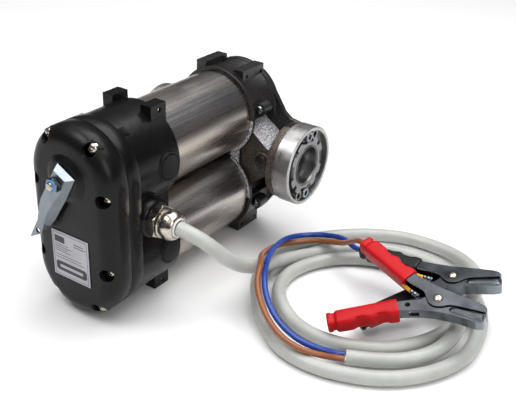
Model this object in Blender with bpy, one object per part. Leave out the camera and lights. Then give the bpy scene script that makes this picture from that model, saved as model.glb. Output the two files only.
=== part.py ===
"""Twin-motor 12 V fluid transfer pump with a lever switch, a two-core lead and two battery clamps.

Frame: +Z up, front cover and lever towards -Y, outlet flange towards +X, the feet stand on z = 0.
All working lengths below are millimetres and become metres in new_object(). The last step puts the origin in
the middle of the pump's footprint.
"""
import math

import bmesh
import bpy
from mathutils import Matrix, Vector

for old in list(bpy.data.objects):
    bpy.data.objects.remove(old, do_unlink=True)

MM = 0.001
GAP = 0.3                      # space kept between neighbouring pieces
SEGS = 28                      # sides of the large rounds

# ---------------------------------------------------------------- driving dimensions
TUBE_R = 35.0                  # motor tube, outside
TUBE_WALL = 2.2
AXIS_Z = {"lower": 42.1, "upper": 113.1}
MID_Z = 0.5 * (AXIS_Z["lower"] + AXIS_Z["upper"])
HALF = 0.5 * (AXIS_Z["upper"] - AXIS_Z["lower"])

HOUSING_R = 38.9
BAND_R = 40.0
WALL = 3.2
COVER_FRONT = -103.5
SCREW_SEAT = -93.5
PARTING = -83.0
BAND_END = -70.5
PARTITION = -61.5
HOUSING_REAR = -25.5
TUBE_FRONT = -29.5
TUBE_REAR = 73.3
BODY_FRONT = 69.9
LIP_END = 72.9
ARM_FRONT = 74.5
PLATE_FRONT = 103.0
BODY_REAR = 108.5
COVER_R = 38.2
REAR_COVER_R = 35.2
LIP_R = 38.3
BODY_R = 36.2
CHAMBER_R = 27.0
CHAMBER_FRONT = 84.0
PORT_Y = 92.5
FLANGE_IN = 65.5
FLANGE_OUT = 81.0
FLANGE_R = 34.0
PORT_R = 16.6                  # G1 thread bore
SHAFT_R = 4.0
BRUSH_Y = -38.2
GLAND_Y = -56.5
TAB_Y = (-39.8, -23.3)
TAB_X = (13.5, 23.4)
TOP_Z = 155.4

# ---------------------------------------------------------------- materials


def material(name, colour, metallic, roughness):
    m = bpy.data.materials.new(name)
    m.use_nodes = True
    b = m.node_tree.nodes["Principled BSDF"]
    b.inputs["Base Color"].default_value = (*colour, 1.0)
    b.inputs["Metallic"].default_value = metallic
    b.inputs["Roughness"].default_value = roughness
    return m


FINISH = {
    "black": ((0.012, 0.012, 0.013), 0.0, 0.32),
    "casting": ((0.02, 0.018, 0.017), 0.0, 0.45),
    "steel": ((0.42, 0.40, 0.37), 1.0, 0.3),
    "zinc": ((0.62, 0.66, 0.70), 1.0, 0.28),
    "nickel": ((0.66, 0.60, 0.52), 1.0, 0.2),
    "aluminium": ((0.60, 0.59, 0.57), 1.0, 0.35),
    "label": ((0.62, 0.61, 0.66), 0.0, 0.5),
    "white": ((0.85, 0.85, 0.84), 0.0, 0.5),
    "grey": ((0.56, 0.57, 0.55), 0.0, 0.45),
    "blue": ((0.01, 0.06, 0.42), 0.0, 0.35),
    "brown": ((0.26, 0.09, 0.03), 0.0, 0.4),
    "red": ((0.66, 0.02, 0.02), 0.0, 0.4),
    "rubber": ((0.02, 0.02, 0.02), 0.0, 0.6),
    "magnet": ((0.06, 0.06, 0.07), 0.3, 0.6),
    "carbon": ((0.04, 0.04, 0.045), 0.2, 0.5),
    "copper": ((0.72, 0.32, 0.16), 1.0, 0.35),
}

# ---------------------------------------------------------------- mesh helpers


def new_object(name, bm, finish, smooth=True):
    """A named object from a bmesh in millimetres, origin at its own centre."""
    bmesh.ops.recalc_face_normals(bm, faces=bm.faces)
    lo = Vector([min(v.co[i] for v in bm.verts) for i in range(3)])
    hi = Vector([max(v.co[i] for v in bm.verts) for i in range(3)])
    centre = (lo + hi) / 2
    bmesh.ops.translate(bm, verts=bm.verts, vec=-centre)
    bmesh.ops.scale(bm, verts=bm.verts, vec=(MM, MM, MM))
    mesh = bpy.data.meshes.new(name)
    bm.to_mesh(mesh)
    bm.free()
    obj = bpy.data.objects.new(name, mesh)
    obj.location = centre * MM
    bpy.context.scene.collection.objects.link(obj)
    if finish:
        mesh.materials.append(material(name, *FINISH[finish]))
    if smooth:
        mesh.shade_smooth()
        mesh.set_sharp_from_angle(angle=math.radians(32))
    bpy.context.view_layer.update()
    return obj


def prism_bm(outline, lo, hi, axis="y"):
    """Closed prism of a 2-D outline. Axis y: outline is (x, z); x: (y, z); z: (x, y)."""
    place = {
        "y": lambda p, t: (p[0], t, p[1]),
        "x": lambda p, t: (t, p[0], p[1]),
        "z": lambda p, t: (p[0], p[1], t),
    }[axis]
    bm = bmesh.new()
    a = [bm.verts.new(place(p, lo)) for p in outline]
    b = [bm.verts.new(place(p, hi)) for p in outline]
    n = len(outline)
    for i in range(n):
        j = (i + 1) % n
        bm.faces.new((a[i], a[j], b[j], b[i]))
    bm.faces.new(list(reversed(a)))
    bm.faces.new(b)
    bmesh.ops.recalc_face_normals(bm, faces=bm.faces)
    return bm


def turned_bm(profile, centre, axis="y", segs=SEGS, phase=0.0):
    """Closed solid turned about an axis through centre; profile is a closed loop of (r, t)."""
    bm = bmesh.new()
    rings = []
    for r, t in profile:
        ring = []
        count = 1 if r < 1e-6 else segs
        for k in range(count):
            a = 2 * math.pi * k / segs + phase
            u, w = r * math.cos(a), r * math.sin(a)
            offset = {"y": (u, t, w), "x": (t, u, w), "z": (u, w, t)}[axis]
            ring.append(bm.verts.new(Vector(centre) + Vector(offset)))
        rings.append(ring)
    for i in range(len(rings)):
        one, two = rings[i], rings[(i + 1) % len(rings)]
        for k in range(segs):
            m = (k + 1) % segs
            loop = [one[k % len(one)], one[m % len(one)], two[m % len(two)], two[k % len(two)]]
            unique = list(dict.fromkeys(loop))
            if len(unique) > 2:
                bm.faces.new(unique)
    bmesh.ops.recalc_face_normals(bm, faces=bm.faces)
    return bm


def tube_profile(r_in, r_out, t0, t1):
    return [(r_in, t0), (r_out, t0), (r_out, t1), (r_in, t1)]


def rod_profile(r, t0, t1):
    return [(0, t0), (r, t0), (r, t1), (0, t1)]


def box_bm(x, y, z):
    return prism_bm([(x[0], z[0]), (x[1], z[0]), (x[1], z[1]), (x[0], z[1])], y[0], y[1])


def rod_bm(centre, r, t0, t1, axis="y", segs=24):
    """A rod whose first corner is turned by its size, so coaxial rods share no corner line."""
    return turned_bm(rod_profile(r, t0, t1), centre, axis, segs, 0.05 + 0.017 * (r % 9.0))


def temporary(bm):
    """A scratch object that keeps its bmesh's millimetre numbers."""
    mesh = bpy.data.meshes.new("scratch")
    bm.to_mesh(mesh)
    bm.free()
    obj = bpy.data.objects.new("scratch", mesh)
    obj.hide_render = True
    obj.display_type = "WIRE"
    bpy.context.scene.collection.objects.link(obj)
    return obj


def tidy(bm, dist):
    bmesh.ops.remove_doubles(bm, verts=bm.verts, dist=dist)
    bmesh.ops.dissolve_degenerate(bm, edges=bm.edges, dist=dist)


def combine(name, base, steps, finish, smooth=True):
    """Applies exact Boolean steps, each (operation, bmesh), to a base bmesh, all in millimetres."""
    body = temporary(base)
    for operation, tool_bm in steps:
        tool = temporary(tool_bm)
        mod = body.modifiers.new("step", "BOOLEAN")
        mod.operation = operation
        mod.solver = "EXACT"
        mod.object = tool
        bpy.context.view_layer.update()
        graph = bpy.context.evaluated_depsgraph_get()
        result = bpy.data.meshes.new_from_object(body.evaluated_get(graph))
        body.modifiers.clear()
        body.data = result
        bpy.data.objects.remove(tool, do_unlink=True)
    bm = bmesh.new()
    bm.from_mesh(body.data)
    bpy.data.objects.remove(body, do_unlink=True)
    tidy(bm, 0.002)
    bmesh.ops.dissolve_limit(bm, angle_limit=math.radians(0.3), verts=bm.verts, edges=bm.edges)
    bmesh.ops.triangulate(bm, faces=[f for f in bm.faces if len(f.verts) > 4])
    tidy(bm, 0.002)
    return new_object(name, bm, finish, smooth)


def stadium(r, segs=SEGS):
    """Outline (x, z) of two round ends about the motor axes joined by straight sides."""
    pts = []
    for k in range(segs // 2 + 1):
        a = math.pi * k / (segs // 2)
        pts.append((r * math.cos(a), AXIS_Z["upper"] + r * math.sin(a)))
    for k in range(segs // 2 + 1):
        a = math.pi + math.pi * k / (segs // 2)
        pts.append((r * math.cos(a), AXIS_Z["lower"] + r * math.sin(a)))
    return pts


def lofted_stadium_bm(levels, segs=SEGS):
    """Closed solid through stadium sections, levels being (radius, y) from front to rear."""
    bm = bmesh.new()
    loops = []
    for r, y in levels:
        loops.append([bm.verts.new((x, y, z)) for x, z in stadium(r, segs)])
    n = len(loops[0])
    for one, two in zip(loops, loops[1:]):
        for i in range(n):
            j = (i + 1) % n
            bm.faces.new((one[i], one[j], two[j], two[i]))
    bm.faces.new(list(reversed(loops[0])))
    bm.faces.new(loops[-1])
    bmesh.ops.recalc_face_normals(bm, faces=bm.faces)
    return bm


def sides():
    return (("right", 1.0), ("left", -1.0))


UNION, CUT = "UNION", "DIFFERENCE"

# ---------------------------------------------------------------- front cover
SCREW_SPOTS = []
for sx in (1, -1):
    for sz in (1, -1):
        SCREW_SPOTS.append((20.4 * sx, MID_Z + 64.2 * sz))
        SCREW_SPOTS.append((32.3 * sx, MID_Z + 29.7 * sz))

PIVOT_X, PIVOT_Z = 0.0, 115.6
BOSS_FRONT = -106.5


def rounded_levels(r_face, r_side, y_face, y_side, steps):
    levels = []
    for k in range(steps + 1):
        a = 0.5 * math.pi * k / steps
        levels.append((r_face + (r_side - r_face) * math.sin(a), y_side - (y_side - y_face) * math.cos(a)))
    return levels


def screw_bosses_bm(r, y0, y1, inset=1.0, segs=10):
    """The eight screw bosses, held inside the outline of the band."""
    shape = temporary(prism_bm(stadium(BAND_R - 0.06), y0 - 1, y1 + 1))
    out = bmesh.new()
    for x, z in SCREW_SPOTS:
        boss = temporary(rod_bm((x * inset, 0, z), r, y0, y1, segs=segs))
        mod = boss.modifiers.new("inside", "BOOLEAN")
        mod.operation = "INTERSECT"
        mod.solver = "EXACT"
        mod.object = shape
        bpy.context.view_layer.update()
        graph = bpy.context.evaluated_depsgraph_get()
        out.from_mesh(bpy.data.meshes.new_from_object(boss.evaluated_get(graph)))
        bpy.data.objects.remove(boss, do_unlink=True)
    bpy.data.objects.remove(shape, do_unlink=True)
    return out


def build_front_cover():
    outer = rounded_levels(27.0, BAND_R, COVER_FRONT, COVER_FRONT + 13.0, 3)
    outer.append((BAND_R, PARTING))
    inner = rounded_levels(25.0, BAND_R - WALL, COVER_FRONT + WALL, COVER_FRONT + 12.0, 2)
    inner.append((BAND_R - WALL, PARTING + 5.0))
    steps = [(CUT, lofted_stadium_bm(inner, 20))]
    boss = [(0, BOSS_FRONT), (14.0, BOSS_FRONT), (17.5, COVER_FRONT - 0.6), (18.5, COVER_FRONT + 1.0),
            (0, COVER_FRONT + 1.0)]
    steps.append((UNION, turned_bm(boss, (PIVOT_X, 0, PIVOT_Z), "y", 20)))
    steps.append((CUT, rod_bm((PIVOT_X, 0, PIVOT_Z), 4.6, -112, -90, segs=16)))
    steps.append((UNION, screw_bosses_bm(6.3, SCREW_SEAT - 1.5, PARTING - 0.2)))
    for x, z in SCREW_SPOTS:
        steps.append((CUT, rod_bm((x, 0, z), 4.9, -110, SCREW_SEAT, segs=14)))
        steps.append((CUT, rod_bm((x, 0, z), 2.4, -110, -70, segs=8)))
    return combine("front_cover", lofted_stadium_bm(outer), steps, "black")


build_front_cover()

# ---------------------------------------------------------------- brush housing


def lobes_bm(r, y0, y1, z_key, segs=SEGS):
    return rod_bm((0, 0, AXIS_Z[z_key]), r, y0, y1, "y", segs)


def waist_outline(half_x, half_z):
    return [(half_x, MID_Z - half_z), (half_x, MID_Z + half_z), (-half_x, MID_Z + half_z),
            (-half_x, MID_Z - half_z)]


def build_brush_housing():
    base = prism_bm(stadium(BAND_R), PARTING + GAP, BAND_END)
    steps = []
    for key in ("upper", "lower"):
        steps.append((UNION, lobes_bm(HOUSING_R, BAND_END - 4, HOUSING_REAR, key)))
    steps.append((UNION, prism_bm(waist_outline(27.0, 20.0), BAND_END - 4, HOUSING_REAR)))
    for top in (True, False):
        for sx in (1, -1):
            x0, x1 = sorted((sx * TAB_X[0], sx * TAB_X[1]))
            z = (MID_Z + 60.0, TOP_Z) if top else (0.0, MID_Z - 60.0)
            steps.append((UNION, box_bm((x0, x1), TAB_Y, z)))
    # boss that carries the cable gland, on the outlet side
    boss = [(0, 20.0), (15.0, 20.0), (14.2, 38.0), (12.6, 41.6), (0, 41.6)]
    steps.append((UNION, turned_bm(boss, (0, GLAND_Y, MID_Z), "x", 20)))
    for sx in (1, -1):
        for key in AXIS_Z:
            x0, x1 = sorted((30.0 * sx, 39.3 * sx))
            steps.append((UNION, rod_bm((0, BRUSH_Y, AXIS_Z[key]), 11.2, x0, x1, "x", 18)))
    # hollow: switch space in front, brush space behind, a wall with the shaft bushes between
    steps.append((CUT, prism_bm(stadium(BAND_R - WALL, 24), PARTING - 2, BAND_END - 1.8)))
    steps.append((CUT, prism_bm(waist_outline(23.5, 12.0), BAND_END - 2.2, PARTITION - 4)))
    for key in AXIS_Z:
        steps.append((CUT, lobes_bm(HOUSING_R - WALL, BAND_END - 2.2, PARTITION - 4, key, 24)))
    steps.append((CUT, prism_bm(waist_outline(23.5, 12.0), PARTITION + 0.4, HOUSING_REAR + 2.5)))
    for key in AXIS_Z:
        steps.append((CUT, lobes_bm(HOUSING_R - WALL, PARTITION, HOUSING_REAR + 6, key, 24)))
        steps.append((CUT, lobes_bm(SHAFT_R + 0.5, -80, -55, key, 12)))
    # brush holder sleeves and the tapped holes for the caps
    for sx in (1, -1):
        for key in AXIS_Z:
            x0, x1 = sorted((15.5 * sx, 37.0 * sx))
            steps.append((UNION, rod_bm((0, BRUSH_Y, AXIS_Z[key]), 8.2, x0, x1, "x", 14)))
    for sx in (1, -1):
        for key in AXIS_Z:
            x0, x1 = sorted((12.0 * sx, 50.0 * sx))
            steps.append((CUT, rod_bm((0, BRUSH_Y, AXIS_Z[key]), 6.4, x0, x1, "x", 14)))
            x0, x1 = sorted((36.0 * sx, 50.0 * sx))
            steps.append((CUT, rod_bm((0, BRUSH_Y, AXIS_Z[key]), 9.9, x0, x1, "x", 18)))
    # gland thread, screw bosses, cross holes in the feet
    steps.append((CUT, rod_bm((0, GLAND_Y, MID_Z), 9.3, 16.0, 50.0, "x", 18)))
    steps.append((UNION, screw_bosses_bm(5.6, PARTING + 2 * GAP, PARTITION - 3, 0.985, 9)))
    for x, z in SCREW_SPOTS:
        steps.append((CUT, rod_bm((x, 0, z), 2.2, PARTING - 1, PARTITION - 8, segs=8)))
    for sx in (1, -1):
        x0, x1 = sorted((15.0 * sx, 30.0 * sx))
        for z in (150.7, 4.5):
            steps.append((CUT, rod_bm((0, -30.4, z), 1.9, x0, x1, "x", 10)))
    return combine("brush_housing", base, steps, "black")


build_brush_housing()

# ---------------------------------------------------------------- brush caps and brushes
for side, sx in sides():
    for key, z in AXIS_Z.items():
        profile = [(0, 36.3), (9.5, 36.3), (9.5, 39.5), (9.0, 40.0), (0, 40.0)]
        if sx < 0:
            profile = [(r, -t) for r, t in profile]
        new_object(f"brush_cap_{side}_{key}", turned_bm(profile, (0, BRUSH_Y, z), "x", 20), "black")
        x0, x1 = sorted((12.4 * sx, 26.0 * sx))
        new_object(f"carbon_brush_{side}_{key}",
                   box_bm((x0, x1), (BRUSH_Y - 4.2, BRUSH_Y + 4.2), (z - 3.4, z + 3.4)), "carbon", False)

# ---------------------------------------------------------------- cover screws
for k, (x, z) in enumerate(SCREW_SPOTS, 1):
    top = SCREW_SEAT - GAP
    profile = [(0, top - 2.8), (2.8, top - 2.6), (4.2, top), (1.9, top), (1.9, -76.0), (0, -76.0)]
    base = turned_bm(profile, (x, 0, z), "y", 10)
    slot = box_bm((x - 4.5, x + 4.5), (top - 4, top - 1.9), (z - 0.5, z + 0.5))
    combine(f"cover_screw_{k}", base, [(CUT, slot)], "nickel")

# ---------------------------------------------------------------- lever switch
LEVER_ANGLE = math.radians(28.0)       # rest position, clockwise from straight down seen from the front
LEVER_FRONT = -113.0
LEVER_BACK = BOSS_FRONT - 0.6


def lever_frame(p):
    """(along the lever, across it, y) to world; along points from the pivot to the fingertip."""
    s, c = math.sin(LEVER_ANGLE), math.cos(LEVER_ANGLE)
    along, across, y = p
    return (PIVOT_X - s * along + c * across, y, PIVOT_Z - c * along - s * across)


def lever_loft_bm(front, back, rear_faces=None):
    """Closed solid between two outlines of (along, across, y) with matching corners; the rear may be several faces."""
    bm = bmesh.new()
    a = [bm.verts.new(lever_frame(p)) for p in front]
    b = [bm.verts.new(lever_frame(p)) for p in back]
    n = len(front)
    for i in range(n):
        j = (i + 1) % n
        bm.faces.new((a[i], a[j], b[j], b[i]))
    bm.faces.new(list(reversed(a)))
    for face in rear_faces or [range(n)]:
        bm.faces.new([b[k] for k in face])
    bmesh.ops.recalc_face_normals(bm, faces=bm.faces)
    return bm


def build_switch_lever():
    """A pressed handle with splayed sides, hollow behind, narrowing to a flat tongue with a hole."""
    f, r, t = LEVER_FRONT, LEVER_BACK, LEVER_FRONT + 1.6
    front = [(-10.5, -5.5, f), (-10.5, 6.0, f), (3.0, 6.4, f), (27.5, 2.4, f), (40.0, 3.6, f), (46.0, 4.5, f),
             (49.3, 5.0, f), (61.5, -3.0, f), (46.0, -2.7, f), (41.0, -2.8, f), (31.0, -5.4, f), (22.0, -6.8, f), (4.0, -5.8, f)]
    back = [(-12.0, -8.5, r), (-12.0, 9.5, r), (10.0, 9.3, r), (35.0, 7.4, r), (43.6, 5.9, r), (46.0, 5.4, t),
            (49.3, 5.0, t), (61.5, -3.0, t), (46.0, -3.6, t), (43.0, -5.0, r), (38.0, -8.5, r), (29.0, -9.5, r), (8.0, -9.0, r)]
    inner = [(-8.9, -3.9, t), (-8.9, 4.4, t), (3.0, 4.8, t), (26.0, 1.0, t), (35.0, 1.3, t), (35.0, -2.0, t),
             (30.0, -3.8, t), (22.0, -5.2, t), (4.0, -4.2, t)]
    mouth = [(-10.6, -7.1, r + 1), (-10.6, 8.1, r + 1), (9.0, 7.9, r + 1), (34.0, 6.0, r + 1), (41.0, 4.3, r + 1),
             (41.0, -3.6, r + 1), (37.0, -7.0, r + 1), (28.5, -8.1, r + 1), (8.0, -7.6, r + 1)]
    base = lever_loft_bm(front, back, [(0, 1, 2, 3, 4, 9, 10, 11, 12), (4, 5, 8, 9), (5, 6, 7, 8)])
    steps = [(CUT, lever_loft_bm(inner, mouth)), (CUT, rod_bm((PIVOT_X, 0, PIVOT_Z), 3.4, -125, -90, segs=16))]
    hole = lever_frame((50.0, 1.0, 0.0))
    steps.append((CUT, rod_bm((hole[0], 0, hole[2]), 2.0, -125, -105, segs=14)))
    lever = combine("switch_lever", base, steps, "zinc")
    pivot = Vector((PIVOT_X, LEVER_FRONT, PIVOT_Z)) * MM
    lever.data.transform(Matrix.Translation(lever.location - pivot))
    lever.location = pivot
    return lever


build_switch_lever()
new_object("lever_nut", turned_bm([(3.3, LEVER_FRONT - GAP), (5.6, LEVER_FRONT - GAP), (5.6, LEVER_FRONT - 3.6),
                                   (4.4, LEVER_FRONT - 4.8), (3.3, LEVER_FRONT - 4.8)],
                                  (PIVOT_X, 0, PIVOT_Z), "y", 12), "zinc")
spindle = [(0, LEVER_FRONT - 6.5), (2.9, LEVER_FRONT - 6.5), (2.9, LEVER_BACK + 0.3), (4.2, LEVER_BACK + 0.3),
           (4.2, -97.5), (9.0, -97.5), (9.0, -88.0), (0, -88.0)]
new_object("switch_shaft", turned_bm(spindle, (PIVOT_X, 0, PIVOT_Z), "y", 14), "nickel")

# ---------------------------------------------------------------- label plate
new_object("label_plate", box_bm((-18.2, 18.2), (COVER_FRONT - GAP - 0.5, COVER_FRONT - GAP), (32.6, 70.8)), "label",
           False)

# ---------------------------------------------------------------- cable gland


def hexagon(r, cy, cz):
    return [(cy + r * math.cos(math.radians(60 * k + 30)), cz + r * math.sin(math.radians(60 * k + 30)))
            for k in range(6)]


CABLE_R = 5.5
gland_steps = [
    (UNION, rod_bm((0, GLAND_Y, MID_Z), 9.0, 30.0, 43.0, "x", 18)),
    (UNION, rod_bm((0, GLAND_Y, MID_Z), 9.6, 47.0, 52.0, "x", 18)),
    (CUT, rod_bm((0, GLAND_Y, MID_Z), 6.6, 20.0, 70.0, "x", 16)),
]
combine("gland_body", prism_bm(hexagon(13.9, GLAND_Y, MID_Z), 42.0, 48.5, "x"), gland_steps, "nickel")
nut_profile = [(9.9, 49.0), (10.9, 49.0), (11.5, 49.8), (11.5, 55.0), (10.9, 58.5), (9.6, 61.2), (8.4, 62.0),
               (7.6, 62.0), (7.6, 58.0), (9.9, 56.0)]
new_object("gland_nut", turned_bm(nut_profile, (0, GLAND_Y, MID_Z), "x", 20), "nickel")
seal_profile = [(CABLE_R + 0.25, 53.0), (9.5, 53.0), (9.5, 55.5), (7.3, 57.8), (7.3, 63.0), (CABLE_R + 0.25, 63.0)]
new_object("gland_seal", turned_bm(seal_profile, (0, GLAND_Y, MID_Z), "x", 20), "white")

# ---------------------------------------------------------------- motors
for key, z in AXIS_Z.items():
    new_object(f"motor_tube_{key}",
               turned_bm(tube_profile(TUBE_R - TUBE_WALL, TUBE_R, TUBE_FRONT, TUBE_REAR), (0, 0, z), "y", 40), "steel")
    new_object(f"field_magnet_{key}",
               turned_bm(tube_profile(27.4, TUBE_R - TUBE_WALL - GAP, -18.0, 60.0), (0, 0, z), "y", 24), "magnet")
    arm = [(0, -63.5), (SHAFT_R, -63.5), (SHAFT_R, -50.0), (12.0, -50.0), (12.0, -26.0), (22.0, -20.0),
           (22.0, -12.0), (26.6, -12.0), (26.6, 54.0), (22.0, 54.0), (20.0, 62.0), (SHAFT_R, 63.0),
           (SHAFT_R, 103.5), (0, 103.5)]
    new_object(f"armature_{key}", turned_bm(arm, (0, 0, z), "y", 18), "copper")
    new_object(f"rear_bearing_{key}",
               turned_bm([(SHAFT_R + GAP, 74.5), (11.0, 74.5), (11.0, 81.5), (SHAFT_R + GAP, 81.5)], (0, 0, z), "y",
                         18), "steel")

# ---------------------------------------------------------------- pump body casting


def arm_outline(sx):
    half = [(18.0, 36.0), (26.0, 31.4), (34.0, 25.1), (50.0, 12.4), (64.4, 12.4)]
    top = [(sx * x, MID_Z + z) for x, z in half]
    bottom = [(sx * x, MID_Z - z) for x, z in reversed(half)]
    return top + bottom


def plate_outline(sx):
    half = [(16.0, 62.0), (31.0, 58.0), (41.5, 43.0), (52.6, 30.8), (63.0, 29.5)]
    return [(sx * x, MID_Z + z) for x, z in half] + [(sx * x, MID_Z - z) for x, z in reversed(half)]


def flip(profile, sx):
    return [(r, sx * t) for r, t in profile]


def build_pump_body():
    chamber = [(0, BODY_FRONT), (LIP_R, BODY_FRONT), (LIP_R, LIP_END), (BODY_R, LIP_END + 0.6), (BODY_R, PLATE_FRONT),
               (COVER_R, PLATE_FRONT + 0.6), (COVER_R, BODY_REAR), (0, BODY_REAR)]
    base = prism_bm(waist_outline(25.0, 22.0), BODY_FRONT + 0.4, BODY_REAR - 0.6)
    steps = []
    for key, z in AXIS_Z.items():
        steps.append((UNION, turned_bm(chamber, (0, 0, z), "y", SEGS)))
    for sx in (1, -1):
        steps.append((UNION, prism_bm(arm_outline(sx), ARM_FRONT, BODY_REAR - 1.4)))
        steps.append((UNION, prism_bm(plate_outline(sx), PLATE_FRONT + 0.9, BODY_REAR - 0.3)))
        neck = [(0, 32.0), (13.5, 34.0), (16.4, 45.0), (20.0, 52.5), (24.5, 55.5), (31.0, 57.5), (33.0, 58.8),
                (33.0, FLANGE_IN - GAP), (0, FLANGE_IN - GAP)]
        steps.append((UNION, turned_bm(flip(neck, sx), (0, PORT_Y, MID_Z), "x", 22)))
    # feet above and below, each with two small cross holes
    for z in ((MID_Z + 58.0, 150.7), (0.0, MID_Z - 58.0)):
        steps.append((UNION, box_bm((11.6, 21.2), (77.5, 107.5), z)))
        steps.append((UNION, box_bm((-27.1, -17.2), (77.5, 107.5), z)))
    # plug boss on the front of the outlet arm
    steps.append((UNION, rod_bm((45.5, 0, MID_Z), 8.6, ARM_FRONT - 1.6, ARM_FRONT + 8, segs=18)))
    # ears with the screws that hold body and motors together
    for sz in (1, -1):
        steps.append((UNION, rod_bm((38.0, 0, MID_Z + 43.5 * sz), 5.2, 79.0, 90.0, segs=12)))
    # open corners above and below the arms, their floors running on from the arms' slopes
    for sx in (1, -1):
        for sz in (1, -1):
            corner = [(28.6, 29.4), (53.0, 10.0), (57.0, 16.0), (36.0, 36.0), (30.4, 36.0)]
            outline = [(sx * x, MID_Z + sz * z) for x, z in corner]
            steps.append((CUT, prism_bm(outline, ARM_FRONT + 0.5, PLATE_FRONT)))
    for key in AXIS_Z:
        steps.append((CUT, lobes_bm(TUBE_R + GAP, 60, 73.8, key, 40)))
        steps.append((CUT, lobes_bm(11.4, 70, 82.0, key, 18)))
        steps.append((CUT, lobes_bm(SHAFT_R + 0.5, 70, 95, key, 12)))
        steps.append((CUT, lobes_bm(CHAMBER_R, CHAMBER_FRONT, 112, key, 24)))
    for sx in (1, -1):
        x0, x1 = sorted((sx * 14.0, sx * 80.0))
        steps.append((CUT, rod_bm((0, PORT_Y, MID_Z), 12.0, x0, x1, "x", 18)))
        x0, x1 = sorted((sx * 55.0, sx * 80.0))
        steps.append((CUT, rod_bm((0, PORT_Y, MID_Z), 17.2, x0, x1, "x", 20)))
        x0, x1 = sorted((sx * 10.0, sx * 22.0))
        steps.append((CUT, box_bm((x0, x1), (88.0, 100.0), (MID_Z - 22, MID_Z + 22))))
    steps.append((CUT, rod_bm((45.5, 0, MID_Z), 6.2, 60, 86, segs=14)))
    for z in (144.6, 4.2):
        for y in (83.5, 103.5):
            steps.append((CUT, rod_bm((0, y, z), 1.5, -30, 30, "x", 8)))
    for sz in (1, -1):
        for sx in (1, -1):
            x0, x1 = sorted((sx * 57.5, sx * 80.0))
            steps.append((CUT, rod_bm((0, PORT_Y, MID_Z + 26.0 * sz), 3.0, x0, x1, "x", 10)))
    return combine("pump_body", base, steps, "casting")


build_pump_body()

# ---------------------------------------------------------------- rotors and rear covers


def build_rotor(key, z):
    """Eccentric-chamber vane rotor: a slotted drum with five vanes standing out of it."""
    r_drum, r_vane, vanes = 21.5, 26.4, 5
    outline = []
    for k in range(vanes):
        a0 = 2 * math.pi * k / vanes + math.pi / 2
        half = math.asin(1.6 / r_vane)
        half_drum = math.asin(1.6 / r_drum)
        outline.append((r_drum, a0 - half_drum))
        outline.append((r_vane, a0 - half))
        outline.append((r_vane, a0 + half))
        outline.append((r_drum, a0 + half_drum))
        for j in range(1, 4):
            outline.append((r_drum, a0 + half_drum + (2 * math.pi / vanes - 2 * half_drum) * j / 4))
    pts = [(r * math.cos(a), z + r * math.sin(a)) for r, a in outline]
    steps = [(CUT, rod_bm((0, 0, z), SHAFT_R + 1.5 * GAP, 80, 120, segs=12))]
    return combine(f"vane_rotor_{key}", prism_bm(pts, CHAMBER_FRONT + GAP, BODY_REAR - GAP), steps, "steel")


for key, z in AXIS_Z.items():
    build_rotor(key, z)
    cover = [(0, 119.5), (11.5, 119.5), (12.5, 114.5), (34.2, 114.5), (REAR_COVER_R, 113.5),
             (REAR_COVER_R, BODY_REAR + GAP), (SHAFT_R + 0.6, BODY_REAR + GAP), (SHAFT_R + 0.6, 110.0), (0, 110.0)]
    new_object(f"rear_cover_{key}", turned_bm(cover, (0, 0, z), "y", 28), "casting")

# ---------------------------------------------------------------- port flanges
for name, sx in (("outlet_flange", 1), ("inlet_flange", -1)):
    ring = [(PORT_R, FLANGE_IN), (FLANGE_R - 0.8, FLANGE_IN), (FLANGE_R, FLANGE_IN + 0.8), (FLANGE_R, FLANGE_OUT - 0.8),
            (FLANGE_R - 0.8, FLANGE_OUT), (FLANGE_R - 3.6, FLANGE_OUT), (FLANGE_R - 3.6, FLANGE_OUT - 6.5),
            (23.4, FLANGE_OUT - 6.5), (23.4, FLANGE_OUT - 1.2), (22.6, FLANGE_OUT - 0.6), (PORT_R + 1.4, FLANGE_OUT - 0.6),
            (PORT_R, FLANGE_OUT - 2.0)]
    base = turned_bm(flip(ring, sx), (0, PORT_Y, MID_Z), "x", 28)
    steps = []
    for sz in (1, -1):
        spot = (0, PORT_Y, MID_Z + 26.0 * sz)
        x0, x1 = sorted((sx * (FLANGE_OUT - 8.0), sx * (FLANGE_OUT - 4.0)))
        steps.append((UNION, rod_bm(spot, 6.0, x0, x1, "x", 12)))
        x0, x1 = sorted((sx * (FLANGE_OUT - 4.0), sx * (FLANGE_OUT + 3.0)))
        steps.append((CUT, rod_bm(spot, 5.3, x0, x1, "x", 12)))
        x0, x1 = sorted((sx * (FLANGE_IN - 2), sx * (FLANGE_OUT + 2)))
        steps.append((CUT, rod_bm(spot, 3.3, x0, x1, "x", 10)))
    combine(name, base, steps, "aluminium")
    tag = name.split("_")[0]
    for word, sz in (("upper", 1), ("lower", -1)):
        head = FLANGE_OUT - 4.0 + GAP
        bolt = [(0, 58.5), (2.7, 58.5), (2.7, head), (4.6, head), (4.6, head + 2.4), (4.1, head + 3.0), (0, head + 3.0)]
        spot = (0, PORT_Y, MID_Z + 26.0 * sz)
        new_object(f"{tag}_bolt_{word}", turned_bm(flip(bolt, sx), spot, "x", 10), "zinc")

# ---------------------------------------------------------------- bypass valve
VALVE = (45.5, 0, MID_Z)
new_object("bypass_plug", turned_bm([(0, 71.5), (5.9, 71.5), (5.9, 75.6), (3.0, 75.6), (3.0, 74.0), (0, 74.0)], VALVE, "y",
                                    14), "zinc")


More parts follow.
